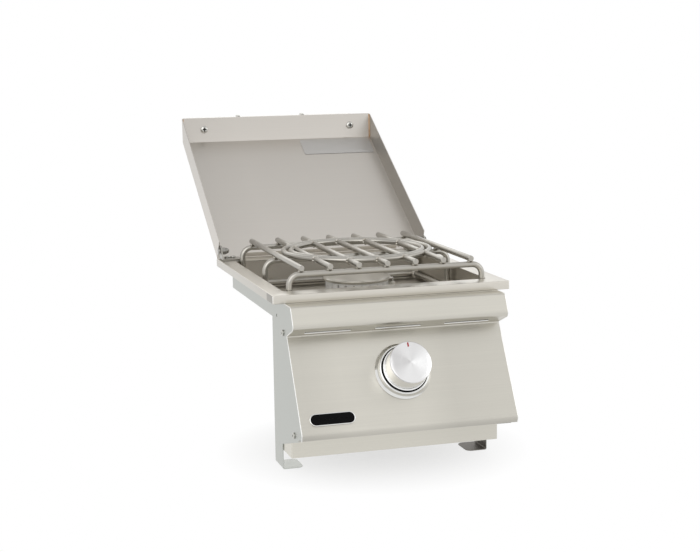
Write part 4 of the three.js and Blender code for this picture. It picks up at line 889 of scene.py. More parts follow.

# %% [markdown]
# The knob's face is a disc of its own on a black neck of painted shadow, so a fine dark line runs round it.
# It was spun on a lathe: its scratches are circles, which fan the light out in sectors as on a record. Noise
# read along the distance from the axis gives the circles, and two waves of the angle about the axis paint the
# sectors into the face's colour as a painted highlight.

# %% Knob
KNOB, KNOB_SKIRT, KNOB_FACE, KNOB_LOW, HUB, BORE, KNOB_WALL = 28.0, 30.1, 40.0, 5.5, 8.0, 4.3, 3.0
STEP_LOW, STEP_HIGH, STEP_OUT = 13.6, 14.4, 29.1
CAP_HIGH_AT, FACE_LOW, NECK, STEM_END, HUB_LOW = 37.7, 39.05, 27.75, 30.4, 8.5
knob_line = np.concatenate([
    [(0, STEM_END), (BORE, STEM_END), (BORE, HUB_LOW), (HUB, HUB_LOW), (HUB, KNOB_FACE - KNOB_WALL),
     (KNOB - KNOB_WALL, KNOB_FACE - KNOB_WALL), (KNOB - KNOB_WALL, KNOB_LOW)],
    arc((KNOB_SKIRT - 0.5, KNOB_LOW + 0.5), 0.5, 270, 358, 4),
    [(KNOB_SKIRT, STEP_LOW - 0.4), (KNOB_SKIRT - 0.3, STEP_LOW), (STEP_OUT, STEP_LOW + 0.1),
     (STEP_OUT, STEP_HIGH)],
    arc((KNOB - 0.3, CAP_HIGH_AT - 0.3), 0.3, 2, 90, 7), [(0, CAP_HIGH_AT)]])
build("knob", about_knob(knob_line, 160), "knob", steel_knob, ["knob_body"])

SPIN_SCALE, SPIN_DEPTH, FAN_TURN, FAN_WIDE, FAN_NARROW = 2600.0, 0.0001, 1.9, 0.38, 0.2
spun = Finish("steel_spun", Metallic=1.0)
face_at = tuple(to_frame(KNOB_AT + KNOB_FACE * PANEL_OUT))
from_axis = spun.node("VectorMath", {"operation": "SUBTRACT"}, {0: spun.here(), 1: face_at})
square = spun.node("VectorMath", {"operation": "CROSS_PRODUCT"}, {0: from_axis, 1: tuple(PANEL_OUT)})
radius = spun.node("VectorMath", {"operation": "LENGTH"}, {0: square}, out=1)
circles = spun.node("TexNoise", {"noise_dimensions": "1D"}, {"W": radius, "Scale": SPIN_SCALE, "Detail": 2.0})
across, _, rising = (spun.node("SeparateXYZ", {}, {0: from_axis}, out=axis) for axis in range(3))
turn = spun.node("Math", {"operation": "ARCTAN2"}, {0: rising, 1: across})
wide = spun.node("Math", {"operation": "SINE"}, {0: turn + FAN_TURN})
narrow = spun.node("Math", {"operation": "SINE"}, {0: 3.0 * turn + FAN_TURN})
# Painted highlight: the sectors brighten and darken the face's colour.
painted_fan_sheen = (0.5 + FAN_WIDE * wide + FAN_NARROW * narrow).clip()
tone = 0.85 * painted_fan_sheen + 0.15 * circles
spun.give("Base Color", spun.blend(tone, colour(204, 203, 203), colour(248, 248, 248)))
spun.give("Roughness", 0.14 + 0.1 * circles)
spun.shape(circles, SPIN_DEPTH, 0.7)
face_line = [(0, FACE_LOW), (KNOB - 0.1, FACE_LOW), (KNOB, FACE_LOW + 0.1), (KNOB - 0.15, KNOB_FACE - 0.6),
             (KNOB - 0.75, KNOB_FACE - 0.15), (KNOB - 1.1, KNOB_FACE), (20, KNOB_FACE), (10, KNOB_FACE),
             (0, KNOB_FACE)]
build("knob_face", about_knob(face_line, 160), "knob", spun.material)
# The neck is black as painted shadow: it stands in for the shade in the gap under the face.
NECK_ROOM = 0.02
neck_low, neck_high = CAP_HIGH_AT + NECK_ROOM, FACE_LOW - NECK_ROOM
neck_line = [(0, neck_low), (NECK, neck_low), (NECK, neck_high), (0, neck_high)]
build("knob_shadow_neck", about_knob(neck_line), "knob", shadow_black)

INDEX_HALF, INDEX_LOW, INDEX_HIGH, INDEX_THICK = 1.0, 20.6, 26.6, 0.5
index = block((-INDEX_HALF, INDEX_LOW, KNOB_FACE + NECK_ROOM),
              (INDEX_HALF, INDEX_HIGH, KNOB_FACE + INDEX_THICK), corner=0.9, edge=0.2)
build("knob_mark", carried(index, KNOB_AT, PANEL_AXES), "knob", red_paint, ["knob_index"])

# %% [markdown]
# The blank nameplate is a pill of plated metal with a raised bead and a black enamelled field.

# %% Nameplate
PILL_HALF, PILL_HIGH, PILL_THICK, BEAD, BEAD_ROUND = 30.5, 8.4, 2.2, 1.4, 0.7
PILL_AT = on_panel(-104.5, 115.4)


def pill(section):
    """A pill on the panel: a ring for each point of the section, inset by its first number and raised by
    its second."""
    rings = [loop(i - PILL_HALF, i - PILL_HIGH, PILL_HALF - i, PILL_HIGH - i, PILL_HIGH - i, per_corner=14)
             for i, _ in section]
    shape = surface(stacked(rings, [height for _, height in section]), wrap_rows=True, wrap_cols=True)
    return carried(shape, PILL_AT, PANEL_AXES)


bead_round = arc((BEAD / 2, GAP + PILL_THICK - BEAD_ROUND), BEAD_ROUND, 180, 0, 9)
bead_section = [(0, GAP), (0, 1.5), *bead_round, (BEAD, 1.6), (BEAD, GAP)]
build("nameplate_bead", pill(bead_section), "housing", steel_bright, ["nameplate"])
field_section = [(BEAD, GAP), (BEAD, 1.7), (BEAD + 0.3, 1.95), (4.0, 2.0), (7.0, 2.02), (8.2, 2.02),
                 (8.2, GAP)]
build("nameplate_field", pill(field_section), "housing", enamel)

# %% [markdown]
# The burner sits in the pan: a cast base with two ears, a drum with flame ports near its top, and a cap
# whose underside tapers in. The drum is a sheet on a grid of angle and height, and its ports are left-out
# cells, so light can pass through them.

# %% Burner
BASE_LOW, BASE_HIGH, BASE_OUT, EAR_FROM, EAR_REACH, EAR_HALF = -40.7, -38.2, 46.0, 38.0, 58.0, 8.0
NECK_OUT, NECK_IN, NECK_LOW = 14.6, 12.6, -60.7
DRUM_OUT, DRUM_IN, DRUM_LOW, DRUM_TOP = 45.0, 41.0, -37.9, -14.0
PORTS, PORT_WIDTH, PORT_LOW, PORT_HIGH = 24, 2.4, -20.6, -15.6
BURNER_AT = (0, BURNER_Y, 0)

base_line = [(NECK_IN, BASE_HIGH), (NECK_IN, NECK_LOW), (NECK_OUT, NECK_LOW), (NECK_OUT, BASE_LOW),
             (BASE_OUT - 0.6, BASE_LOW), (BASE_OUT, BASE_LOW + 0.6), (BASE_OUT, BASE_HIGH - 0.8),
             (BASE_OUT - 0.8, BASE_HIGH), (NECK_IN, BASE_HIGH)]
ears = [block((start, -EAR_HALF, BASE_LOW), (end, EAR_HALF, BASE_HIGH), corner=7.9, edge=0.5)
        for start, end in ((-EAR_REACH, -EAR_FROM), (EAR_FROM, EAR_REACH))]
base = together(turned(base_line), *ears)
build("burner_foot", carried(base, BURNER_AT, np.eye(3)), "housing", casting, ["burner_base"])

port_at = (np.arange(PORTS) + 0.5) * 2 * math.pi / PORTS
port_half = PORT_WIDTH / 2 / DRUM_OUT
drum_angles = (port_at[:, None] + [-port_half, port_half, math.pi / PORTS * 0.7]).ravel()
drum_levels = np.array([DRUM_LOW, DRUM_LOW + 8, PORT_LOW, PORT_HIGH, DRUM_TOP])


def drum_skin(radius):
    """A cylinder on the drum's angles and levels."""
    ring = np.stack([radius * np.cos(drum_angles), radius * np.sin(drum_angles)], 1) + (0, BURNER_Y)
    return stacked([ring] * len(drum_levels), drum_levels)


drum_keep = np.ones((len(drum_levels) - 1, len(drum_angles)), bool)
drum_keep[2, 0::3] = False
drum = sheet(drum_skin(DRUM_OUT), drum_skin(DRUM_IN), drum_keep, wrap=True)
build("drum", drum, "housing", steel_drum, ["burner_drum"])

CAP_OUT, CAP_LOW, CAP_HIGH, CAP_SKIRT, CAP_WELL, SKIRT_LOW = 48.5, -13.7, -8.4, 40.4, 36.4, -18.7
CAP_EDGE, CAP_EDGE_AT, CAP_SHOULDER, CAP_DOME, DOME_OUT = 0.9, -10.3, 1.3, 0.8, 46
cap_line = np.concatenate([
    [(0, CAP_LOW), (CAP_WELL, CAP_LOW), (CAP_WELL, SKIRT_LOW), (CAP_SKIRT, SKIRT_LOW), (CAP_SKIRT, CAP_LOW),
     (DRUM_OUT, CAP_LOW)],
    arc((CAP_OUT - CAP_EDGE, CAP_EDGE_AT), CAP_EDGE, -40, 60, 6),
    arc((CAP_OUT - 2 * CAP_SHOULDER, CAP_HIGH - CAP_SHOULDER), CAP_SHOULDER, 40, 88, 5),
    [(r, CAP_HIGH + CAP_DOME * (1 - (r / DOME_OUT) ** 2)) for r in (40, 30, 20, 10, 0)]])
build("cap", turned(cap_line, BURNER_AT, (X, Y, Z), 128), "housing", steel_cap, ["burner_cap"])
EAR_SCREW, EAR_SCREW_LONG = 50.0, 10.0
for side_name, side in SIDES:
    place = (side * EAR_SCREW, BURNER_Y, BASE_HIGH + GAP)
    put_screw(f"burner_screw_head_{side_name}", f"burner_screw_{side_name}", place, Z, long=EAR_SCREW_LONG)

# %% [markdown]
# Ignition: a ceramic tube stands through the pan beside the drum, its wire tip bends toward the ports, and
# a rubber-sleeved lead runs from the igniter under the pan to it.

# %% Electrode and lead
ELECTRODE = np.array([60.0, 186.0])
ceramic_line = [(0, -52), (2.9, -52), (3.2, -51.7), (3.2, -39.2), (4.3, -39.2), (4.6, -38.9), (4.6, -37.1),
                (3.9, -36.3), (3.2, -35.6), (3.2, -25.4), (2.8, -23.6), (1.9, -22.3), (1.3, -22), (0, -22)]
build("ceramic", turned(ceramic_line, (*ELECTRODE, 0), (X, Y, Z), 40), "housing", ceramic,
      ["electrode_insulator"])
toward = np.array([-ELECTRODE[0], BURNER_Y - ELECTRODE[1]])
TIP_FROM, TIP_LEVEL, TIP_REACH, TIP = -21.7, -16.7, 12, 1.1
tip_end = ELECTRODE + unit(toward) * TIP_REACH
tip_route = route([(*ELECTRODE, TIP_FROM), (*ELECTRODE, TIP_LEVEL), (*tip_end, TIP_LEVEL)], 2 * TIP, steps=8)
tip = swept(*tip_route, TIP, sides=16, lip=0.25)
build("spark_tip", tip, "housing", steel_bright, ["electrode_tip"])

IGNITER_X, IGNITER_END, CLEAR = -22.6, 49.3, 12
WIRE, WIRE_BEND, WIRE_LOW, WIRE_SIDE, WIRE_END = 1.6, 6, -68.0, -36.0, -52.3
CLEAR_Y, LOW_Y, CROSS_Y = 34, 78, 112
exit_at = on_panel(IGNITER_X, KNOB_DOWN) - PANEL_OUT * IGNITER_END
clear_at = exit_at - PANEL_OUT * CLEAR
lead = route([exit_at, clear_at, (WIRE_SIDE, CLEAR_Y, clear_at[2]), (WIRE_SIDE, LOW_Y, WIRE_LOW),
              (WIRE_SIDE, CROSS_Y, WIRE_LOW), (ELECTRODE[0], CROSS_Y, WIRE_LOW), (*ELECTRODE, WIRE_LOW),
              (*ELECTRODE, WIRE_END)], WIRE_BEND, steps=8)
build("lead", swept(*lead, WIRE, sides=16, lip=0.3), "housing", sleeve, ["ignition_wire"])

# %% [markdown]
# Gas way: the supply screws onto a brass fitting, a tube leads to the valve, and a jet blows into the
# venturi, whose closed end has two air windows under a turning sleeve. Tubes are two skins along one route;
# the windows are left-out cells between rows and angles that lie on their edges.

# %% Venturi, sleeve and pipe
GAS_LEVEL, VENTURI, VENTURI_WALL, VENTURI_FRONT, VENTURI_BEND = -112.0, 16.2, 1.2, 24.0, 38.0
VENTURI_EASE, VENTURI_END, VENTURI_TOP, JET_HOLE = 0.8, 1.5, -42.3, 5.3
WINDOW_FRONT, WINDOW_BACK, WINDOW_HALF = 29.0, 41.0, 8.0


def tube_skin(stations, heads, radii, angles):
    """Circles of the given radii at the stations of a route, at the given angles."""
    side, rise = frames_along(heads)
    ring = np.cos(angles)[None, :, None] * side[:, None] + np.sin(angles)[None, :, None] * rise[:, None]
    return stations[:, None] + ring * np.asarray(radii, float)[:, None, None]


def window_angles(radius):
    """Angles round a tube with four of them on the edges of the two side windows."""
    half = math.asin(WINDOW_HALF / radius)
    quarters = [spread(-half, half, 7)[:-1], spread(half, math.pi - half, 13)[:-1]]
    return np.concatenate([quarters[0], quarters[1], quarters[0] + math.pi, quarters[1] + math.pi])


venturi_angles = window_angles(VENTURI)
venturi_keep_cols = np.r_[0:6, 18:24]
path, heads = route([(0, VENTURI_FRONT, GAS_LEVEL), (0, BURNER_Y, GAS_LEVEL), (0, BURNER_Y, VENTURI_TOP)],
                    VENTURI_BEND, 14)
start_y = np.array([VENTURI_FRONT, VENTURI_FRONT, VENTURI_FRONT + VENTURI_EASE, WINDOW_FRONT, WINDOW_BACK])
start = np.stack([0 * start_y, start_y, 0 * start_y + GAS_LEVEL], 1)
outer_path = np.concatenate([start, path[1:]])
inner_path = np.concatenate([start + Y * np.array([[VENTURI_END]] * 3 + [[0]] * 2), path[1:]])
all_heads = np.concatenate([np.tile(Y, (5, 1)), heads[1:]])
outer_radii = np.concatenate([[JET_HOLE, VENTURI - VENTURI_EASE], np.full(len(outer_path) - 2, VENTURI)])
inner_radii = np.concatenate([[JET_HOLE], np.full(len(outer_path) - 1, VENTURI - VENTURI_WALL)])
venturi_keep = np.ones((len(outer_path) - 1, len(venturi_angles)), bool)
venturi_keep[3, venturi_keep_cols] = False
venturi = sheet(tube_skin(outer_path, all_heads, outer_radii, venturi_angles),
                tube_skin(inner_path, all_heads, inner_radii, venturi_angles), venturi_keep, wrap=True)
build("venturi", venturi, "housing", steel_plate, ["venturi_tube"])

SLEEVE_IN, SLEEVE_WALL, SLEEVE_LONG = 16.5, 1.2, 20.0
sleeve_y = np.array([VENTURI_FRONT, WINDOW_FRONT, WINDOW_BACK, VENTURI_FRONT + SLEEVE_LONG])
sleeve_path = np.stack([0 * sleeve_y, sleeve_y, 0 * sleeve_y + GAS_LEVEL], 1)
sleeve_heads = np.tile(Y, (4, 1))
sleeve_angles = window_angles(SLEEVE_IN + SLEEVE_WALL)
sleeve_keep = np.ones((3, len(sleeve_angles)), bool)
sleeve_keep[1, venturi_keep_cols] = False
sleeve_skins = [tube_skin(sleeve_path, sleeve_heads, np.full(4, radius), sleeve_angles)
                for radius in (SLEEVE_IN + SLEEVE_WALL, SLEEVE_IN)]
build("shutter_sleeve", sheet(*sleeve_skins, sleeve_keep, wrap=True), "shutter", steel_bright,
      ["air_shutter"])

PIPE, PIPE_WALL, PIPE_TURN, PIPE_BEND, PIPE_END, PIPE_X, PIPE_DEEP = 4.8, 1.0, 70.0, 20.0, 95.0, 22.3, 40
pipe_from = on_panel(PIPE_X, KNOB_DOWN) - PANEL_OUT * PIPE_DEEP
pipe_corners = [pipe_from, (PIPE_TURN, *pipe_from[1:]), (PIPE_TURN, PIPE_END, pipe_from[2])]
path, heads = route(pipe_corners, PIPE_BEND, 14)
pipe_angles = full_turn(32)
pipe_skins = [tube_skin(path, heads, np.full(len(path), r), pipe_angles) for r in (PIPE, PIPE - PIPE_WALL)]
build("pipe", sheet(*pipe_skins, wrap=True), "housing", steel_bright, ["gas_pipe"])

FITTING_AXES = (Z, X, Y)
hex_line = [(3, 95.3), (9, 95.3), (10, 96.3), (10, 106.3), (9, 107.3), (3, 107.3), (3, 95.3)]
neck_line = [(3, 106), (7.2, 106), (7.2, 107.5), (6.5, 108.2), (6.5, 121.5), (7.5, 123), (7.5, 124.6),
             (7, 125.3), (4.2, 125.3), (3, 124), (3, 106)]
fitting_at = (PIPE_TURN, 0, pipe_from[2])
fitting = together(*[turned(line, fitting_at, FITTING_AXES, steps)
                     for line, steps in ((hex_line, 6), (neck_line, 64))])
build("supply_fitting", fitting, "housing", brass, ["inlet_fitting"])

# %% [markdown]
# The grate is round rod, cut, bent and welded: three arches whose legs stand in the pan, straight rods,
# and an outer ring with stubs. A smaller ring with five bars lifts out of its middle. Rods are circles
# swept along their routes with eased, flat-cut ends. Small beads of weld close every joint.

# %% Grate
ROD, SHIFT, LEVEL, ROD_FRONT, ROD_BACK = 4.0, 2.0, 28.4, 31.0, 321.0
RING_Y, RING_OUT, RING_IN = 175.0, 103.8, 93.2
PITCH = RING_IN * 0.426
ARCH_HALF, ARCH_BEND, ARCH_TOP, LEG_END, RAIL_LEVEL = 135.6, 14.0, 20.1, -40.7, -33.7
FRONT_Y, MIDDLE_Y, REAR_Y = 35.0, 169.0, 312.5
ROD_SIDES, ROD_LIP = 32, 0.6


def arch(y):
    """One arch: up from the pan, across and down, with round bends."""
    corners = [(-ARCH_HALF, y, LEG_END), (-ARCH_HALF, y, ARCH_TOP), (ARCH_HALF, y, ARCH_TOP),
               (ARCH_HALF, y, LEG_END)]
    return swept(*route(np.array(corners) + X * SHIFT, ARCH_BEND, 16), ROD, ROD_SIDES, ROD_LIP)


def ring(radius):
    """A rod bent into a ring: a circle carried round a circle."""
    turn = full_turn(160)
    centre = np.stack([SHIFT + radius * np.cos(turn), RING_Y + radius * np.sin(turn), 0 * turn + LEVEL], 1)
    out = np.stack([np.cos(turn), np.sin(turn), 0 * turn], 1)
    angle = full_turn(ROD_SIDES)[None, :, None]
    return surface(centre[:, None] + ROD * (np.cos(angle) * out[:, None] + np.sin(angle) * Z), True, True)


def rod_y(x, front_y, back_y, level=LEVEL):
    """A straight rod from front to back."""
    return bar((SHIFT + x, front_y, level), (SHIFT + x, back_y, level), ROD, ROD_SIDES, ROD_LIP)


def rails(front_y, back_y):
    """The two low rails that join the arches' legs."""
    return [rod_y(side * ARCH_HALF, front_y, back_y, RAIL_LEVEL) for side in (-1, 1)]


def rod_piece(name, shape, node, body="grate"):
    """Builds a piece of rod that stands for one node."""
    build(name, shape, body, steel_rod, [node])


low_ends = [(SHIFT + side * ARCH_HALF, REAR_Y, RAIL_LEVEL) for side in (-1, 1)]
rear_arch = together(arch(REAR_Y), *rails(MIDDLE_Y + ROD + GAP, REAR_Y), bar(*low_ends, ROD, ROD_SIDES))
rod_piece("arch_front", together(arch(FRONT_Y), *rails(FRONT_Y, MIDDLE_Y - ROD - GAP)), "grate_support_front")
rod_piece("arch_middle", arch(MIDDLE_Y), "grate_support_middle")
rod_piece("arch_rear", rear_arch, "grate_support_rear")
for side_name, side in SIDES:
    rod_piece(f"rod_{side_name}", rod_y(side * 3 * PITCH, ROD_FRONT, ROD_BACK), f"grate_rod_{side_name}")

bar_places = PITCH * np.array([-2, -1, 0, 1, 2])
out_reach, in_reach = (np.sqrt(radius ** 2 - bar_places ** 2) for radius in (RING_OUT, RING_IN))
stubs = [rod_y(x, ROD_FRONT, RING_Y - r) for x, r in zip(bar_places, out_reach)]
stubs += [rod_y(x, RING_Y + r, ROD_BACK) for x, r in zip(bar_places, out_reach)]
rod_piece("ring_outer", together(ring(RING_OUT), *stubs), "grate_outer_ring")
bars = [rod_y(x, RING_Y - r, RING_Y + r) for x, r in zip(bar_places, in_reach)]
rod_piece("ring_inner", together(ring(RING_IN), *bars), "grate_inner_ring", "grate_centre")

# %% [markdown]
# A weld bead is a lumpy collar. It is a ring whose small radius swells a little, many times round. Its top
# is ground off level with the rods, so a pot stands flat. Where a rod lies across another there is a low
# mound of weld on each side of the crossing.

# %% Welds
BEAD_SMALL, BEAD_LUMPS, BEAD_SWELL, BEAD_SUNK = 1.7, 7, 0.22, 0.15
GROUND_OFF = LEVEL + ROD + 0.05


def bead(centre, axis):
    """Ring round an axis: its small radius is multiplied by 1 + swell cos(lumps times the angle)."""
    turn = full_turn(66)
    first, second, _ = square_to(axis)
    out = np.cos(turn)[:, None] * first + np.sin(turn)[:, None] * second
    swell = BEAD_SMALL * (1 + BEAD_SWELL * np.cos(BEAD_LUMPS * turn))[:, None, None]
    angle = full_turn(10)[None, :, None]
    way = np.asarray(axis, float)
    circle = np.cos(angle) * out[:, None] + np.sin(angle) * way
    points = np.asarray(centre, float) + out[:, None] * (ROD - BEAD_SUNK) + swell * circle
    points[..., 2] = np.minimum(points[..., 2], GROUND_OFF)
    return surface(points, True, True)


def mound(centre, half):
    """A low oval of weld: a sphere drawn out to three half sizes."""
    up, turn = np.radians(spread(-90, 90, 9))[:, None], full_turn(16)
    ball = np.stack([np.cos(up) * np.cos(turn), np.cos(up) * np.sin(turn), np.sin(up) + 0 * turn], 2)
    return surface(np.asarray(centre, float) + ball * np.asarray(half, float), wrap_cols=True)


WELD_REACH, MOUND_AT, MOUND = 3.6, 2.6, (1.5, 3.4, 1.5)
outer_beads = [bead((SHIFT + x, RING_Y + s * (r + WELD_REACH), LEVEL), Y) for s in (-1, 1)
               for x, r in zip(bar_places, out_reach)]
inner_beads = [bead((SHIFT + x, RING_Y + s * (r - WELD_REACH), LEVEL), Y) for s in (-1, 1)
               for x, r in zip(bar_places, in_reach)]
rail_beads = [bead((SHIFT + s * ARCH_HALF, y, RAIL_LEVEL), Y) for s in (-1, 1)
              for y in (FRONT_Y + WELD_REACH, REAR_Y - WELD_REACH)]
rail_beads += [bead((SHIFT + s * (ARCH_HALF - WELD_REACH), REAR_Y, RAIL_LEVEL), X) for s in (-1, 1)]
crossings = [(x, y) for x in PITCH * np.arange(-3, 4) for y in (FRONT_Y, REAR_Y)]
crossings += [(s * 3 * PITCH, MIDDLE_Y) for s in (-1, 1)]
mounds = [mound((SHIFT + x + s * MOUND_AT, y, (LEVEL + ARCH_TOP) / 2), MOUND)
          for x, y in crossings for s in (-1, 1)]
print("beads", len(outer_beads + inner_beads + rail_beads), "mounds", len(mounds))

# %% [markdown]
# Weld metal is pale where it is clean and brownish where the heat has coloured it. Its surface is finely
# rippled, so it glitters more than the rods.

# %% Weld finish
weld_steel = Finish("weld_steel", Metallic=1.0)
heat = (2.2 * weld_steel.noise(120.0, 3.0) - 0.7).clip()
weld_steel.give("Base Color", weld_steel.blend(heat, colour(206, 203, 196), colour(164, 156, 142)))
weld_steel.give("Roughness", 0.34 + 0.14 * weld_steel.noise(900.0, 3.0))
weld_steel.shape(weld_steel.noise(650.0, 2.0), 0.0001, 0.25)
build("grate_welds", together(*outer_beads, *rail_beads, *mounds), "grate", weld_steel.material)
build("centre_welds", together(*inner_beads), "grate_centre", weld_steel.material)

# %% [markdown]
# The lid is a shallow tray of one sheet, hinged at the back and drawn here as it lies closed. Then the
# whole tray turns back about its pivots to where it stands open. Across, its line is flange, bend, top,
# bend, flange; from back to front it is a short rear flange, the top and a slanted front flange.

# %% Lid tray
LID_HALF, LID_DEEP, LID_BEND, PIVOT = 163.4, 34.0, 1.6, np.array([0, 339.9, 13.4])
LID_TOP, LID_LOW, LID_BACK, LID_FOLD, LID_SLANT = 21.2, -12.8, -6.4, -311.6, 22.3
REAR_FLANGE, REAR_HALF, OPEN_ANGLE = 10.0, 122.0, 148.45
LID_STEPS, LID_FLAT, LID_BODY = 6, 9, 12
FLANK = LID_STEPS + 1
turn_back = -math.radians(OPEN_ANGLE)
LID_AXES = np.array([X, Y * math.cos(turn_back) + Z * math.sin(turn_back),
                     Z * math.cos(turn_back) - Y * math.sin(turn_back)])


def on_lid(shape):
    """Turns a shape in the closed lid's own place about the pivots to where the lid stands open."""
    return carried(shape, PIVOT, LID_AXES)


def lid_skin(distance):
    """Grid of the tray: columns follow the line across, rows the line from back to front."""
    across = bent_line([(-LID_HALF, LID_LOW, 0), (-LID_HALF, LID_TOP, LID_BEND),
                        (LID_HALF, LID_TOP, LID_BEND), (LID_HALF, LID_LOW, 0)], -distance, LID_STEPS)
    lengthwise = bent_line([(LID_BACK, LID_TOP - REAR_FLANGE, 0), (LID_BACK, LID_TOP, LID_BEND),
                            (LID_FOLD, LID_TOP, LID_BEND + 0.6), (LID_FOLD - LID_SLANT, LID_LOW, 0)],
                           distance, LID_STEPS)
    flat, top = spread(-REAR_HALF, REAR_HALF, LID_FLAT), LID_TOP - distance
    x = np.concatenate([across[:FLANK, 0], flat, across[FLANK:, 0]])
    drop = np.concatenate([across[:FLANK, 1], np.full(LID_FLAT, top), across[FLANK:, 1]]) - top
    body = spread(0, 1, LID_BODY)[1:-1, None]
    middle = lengthwise[FLANK - 1] + (lengthwise[FLANK] - lengthwise[FLANK - 1]) * body
    rows_y, rows_z = np.concatenate([lengthwise[:FLANK], middle, lengthwise[FLANK:]]).T
    top_first, top_last = FLANK - 1, FLANK + len(body)
    share = np.clip((rows_y - rows_y[top_first]) / (rows_y[top_last] - rows_y[top_first]), 0, 1)
    edge = rows_y[top_last] + LID_SLANT / LID_DEEP * drop[None, :]
    flank_y = LID_BACK + 0 * drop[None, :]
    flank = flank_y + (edge - flank_y) * share[:, None]
    side = drop < -WELD
    grid_y = np.where(side[None, :], flank, rows_y[:, None])
    grid_z = np.where(side[None, :], top + drop[None, :], rows_z[:, None])
    grid_x = np.broadcast_to(x[None, :], grid_y.shape)
    return np.stack([grid_x, grid_y, grid_z], 2), top_first, top_last


lid_outer, lid_first, lid_last = lid_skin(0)
lid_inner, _, _ = lid_skin(SHEET)
rows, cols = lid_outer.shape[0] - 1, lid_outer.shape[1] - 1
lid_keep = np.ones((rows, cols), bool)
for ends, notch in ((slice(0, lid_first), FLANK), (slice(lid_last, rows), LID_STEPS)):
    lid_keep[ends, :notch] = False
    lid_keep[ends, cols - notch:] = False
tray = on_lid(sheet(lid_outer, lid_inner, lid_keep))
build("lid_tray", tray, "lid", steel_lid, ["lid_shell"], EASE)

# %% [markdown]
# The slanted flange carries the handle: a heavy round bar with two collars that bound the grip, held off by
# two posts whose tops are hollowed to fit the bar. A post's top is the surface where its own cylinder
# meets the bar's, worked out from the two radii.

# %% Handle
fold_at = np.array([0, LID_FOLD, LID_TOP])
flange_way = np.array([0, -LID_SLANT, LID_LOW - LID_TOP]) / math.hypot(LID_SLANT, LID_DEEP)
flange_out = np.array([0, flange_way[2], -flange_way[1]])
FLANGE_AXES = np.array([-X, flange_way, flange_out])


def on_flange(shape, x, along_flange):
    """Moves a shape from the flange's axes (across, toward the free edge, outward) to the open lid."""
    return on_lid(carried(shape, fold_at + X * x + flange_way * along_flange, FLANGE_AXES))


BAR_HIGH, BAR_ALONG, BAR, BAR_HALF = 55.0, 26.4, 14.0, 146.0
COLLAR, COLLAR_AT, COLLAR_WIDE, COLLAR_ROUND, BAR_ROUND = 17.0, 56.5, 5.0, 0.9, 2.5
POST_AT, POST_ALONG, POST, POST_SCREW = 126.5, 21.4, 9.0, (6.0, 3.4, 2.5, 24.0)

collar_start, collar_end = COLLAR_AT - COLLAR_WIDE / 2, COLLAR_AT + COLLAR_WIDE / 2
half_line = np.concatenate([
    [(BAR, 0), (BAR, collar_start)],
    arc((COLLAR - COLLAR_ROUND, collar_start + COLLAR_ROUND), COLLAR_ROUND, -90, 0, 6),
    arc((COLLAR - COLLAR_ROUND, collar_end - COLLAR_ROUND), COLLAR_ROUND, 0, 90, 6),
    [(BAR, collar_end)],
    arc((BAR - BAR_ROUND, BAR_HALF - BAR_ROUND), BAR_ROUND, 0, 90, 8),
    [(4, BAR_HALF), (3.2, BAR_HALF - 0.8), (0, BAR_HALF - 0.8)]])
bar_line = np.concatenate([(half_line * [1, -1])[:0:-1], half_line])
grip = turned(bar_line, (0, 0, BAR_HIGH), (Y, Z, X), 96)
build("handle_bar", on_flange(grip, 0, BAR_ALONG), "lid", steel_handle, ["handle_tube"])


def post_shape():
    """A cylinder whose top is cut by the bar: z = height - sqrt(bar^2 - (y - shift)^2)."""
    shift, reach = BAR_ALONG - POST_ALONG, BAR + GAP
    angle = full_turn(48)
    levels = ((0, GAP), (POST - 0.6, GAP), (POST, GAP + 0.6), (POST, 20), (POST, None), (POST * 0.6, None),
              (0, None))
    rings = []
    for radius, low in levels:
        x, y = radius * np.cos(angle), radius * np.sin(angle)
        top = BAR_HIGH - np.sqrt(reach ** 2 - (y - shift) ** 2)
        rings.append(np.stack([x, y, top if low is None else np.full(len(angle), low)], 1))
    return surface(np.array(rings), wrap_cols=True)


for side_name, side in SIDES:
    post = on_flange(post_shape(), side * POST_AT, POST_ALONG)
    build(f"post_{side_name}", post, "lid", steel_handle, [f"handle_post_{side_name}"])
    inward, hollow = screw((0, 0, -SHEET - GAP), -Z, *POST_SCREW)
    build(f"handle_screw_head_{side_name}", on_flange(inward, side * POST_AT, POST_ALONG), "lid", steel_screw,
          [f"handle_screw_{side_name}"], hollow=hollow)

# %% [markdown]
# Inside the open lid is a foil plate with nothing on it. The tray's two front corners are closed by a seam of
# weld, and its heat has tinted the steel from straw to brown.

# %% Foil plate and corner welds of the lid
LABEL_LOW, LABEL_HIGH = (36, LID_BACK - 301, LID_TOP - 1.8), (158, LID_BACK - 259, LID_TOP - 1.5)
label = block(LABEL_LOW, LABEL_HIGH, corner=3.0, edge=0.1)
build("foil_plate", on_lid(label), "lid", foil, ["data_plate"])

SEAM = 1.5
corner_line = [(LID_FOLD + SEAM, LID_TOP - SEAM), (LID_FOLD - LID_SLANT + SEAM, LID_LOW + 0.6)]
lid_welds = [bar(*[(s * (LID_HALF - SEAM), *end) for end in corner_line], SEAM, sides=12, lip=0.4)
             for s in (-1, 1)]
tinted = Finish("weld_tinted", Metallic=1.0)
tint = (2.0 * tinted.noise(45.0, 3.0) - 0.6).clip()
tinted.give("Base Color", tinted.blend(tint, colour(212, 188, 158), colour(146, 104, 74)))
tinted.give("Roughness", 0.3 + 0.2 * tinted.noise(700.0, 3.0))
build("lid_corner_welds", on_lid(together(*lid_welds)), "lid", tinted.material)

# %% [markdown]
# Each hinge is an angle of thick sheet: a foot screwed to the rim and an ear round the pivot. The sheet's
# line goes along the foot, round the bend and up the ear, and the ear's front and rear edges close in to a
# round top. A bolt passes through lid and ear into a domed nut.

# %% Hinges
EAR_OUT, HINGE, FOOT_WIDE, FOOT_FRONT, FOOT_BACK, EAR, HINGE_BEND = 161.9, 2.0, 30.0, 325.0, 350.5, 8.5, 2.6
PIVOT_Y, PIVOT_Z = PIVOT[1], PIVOT[2]


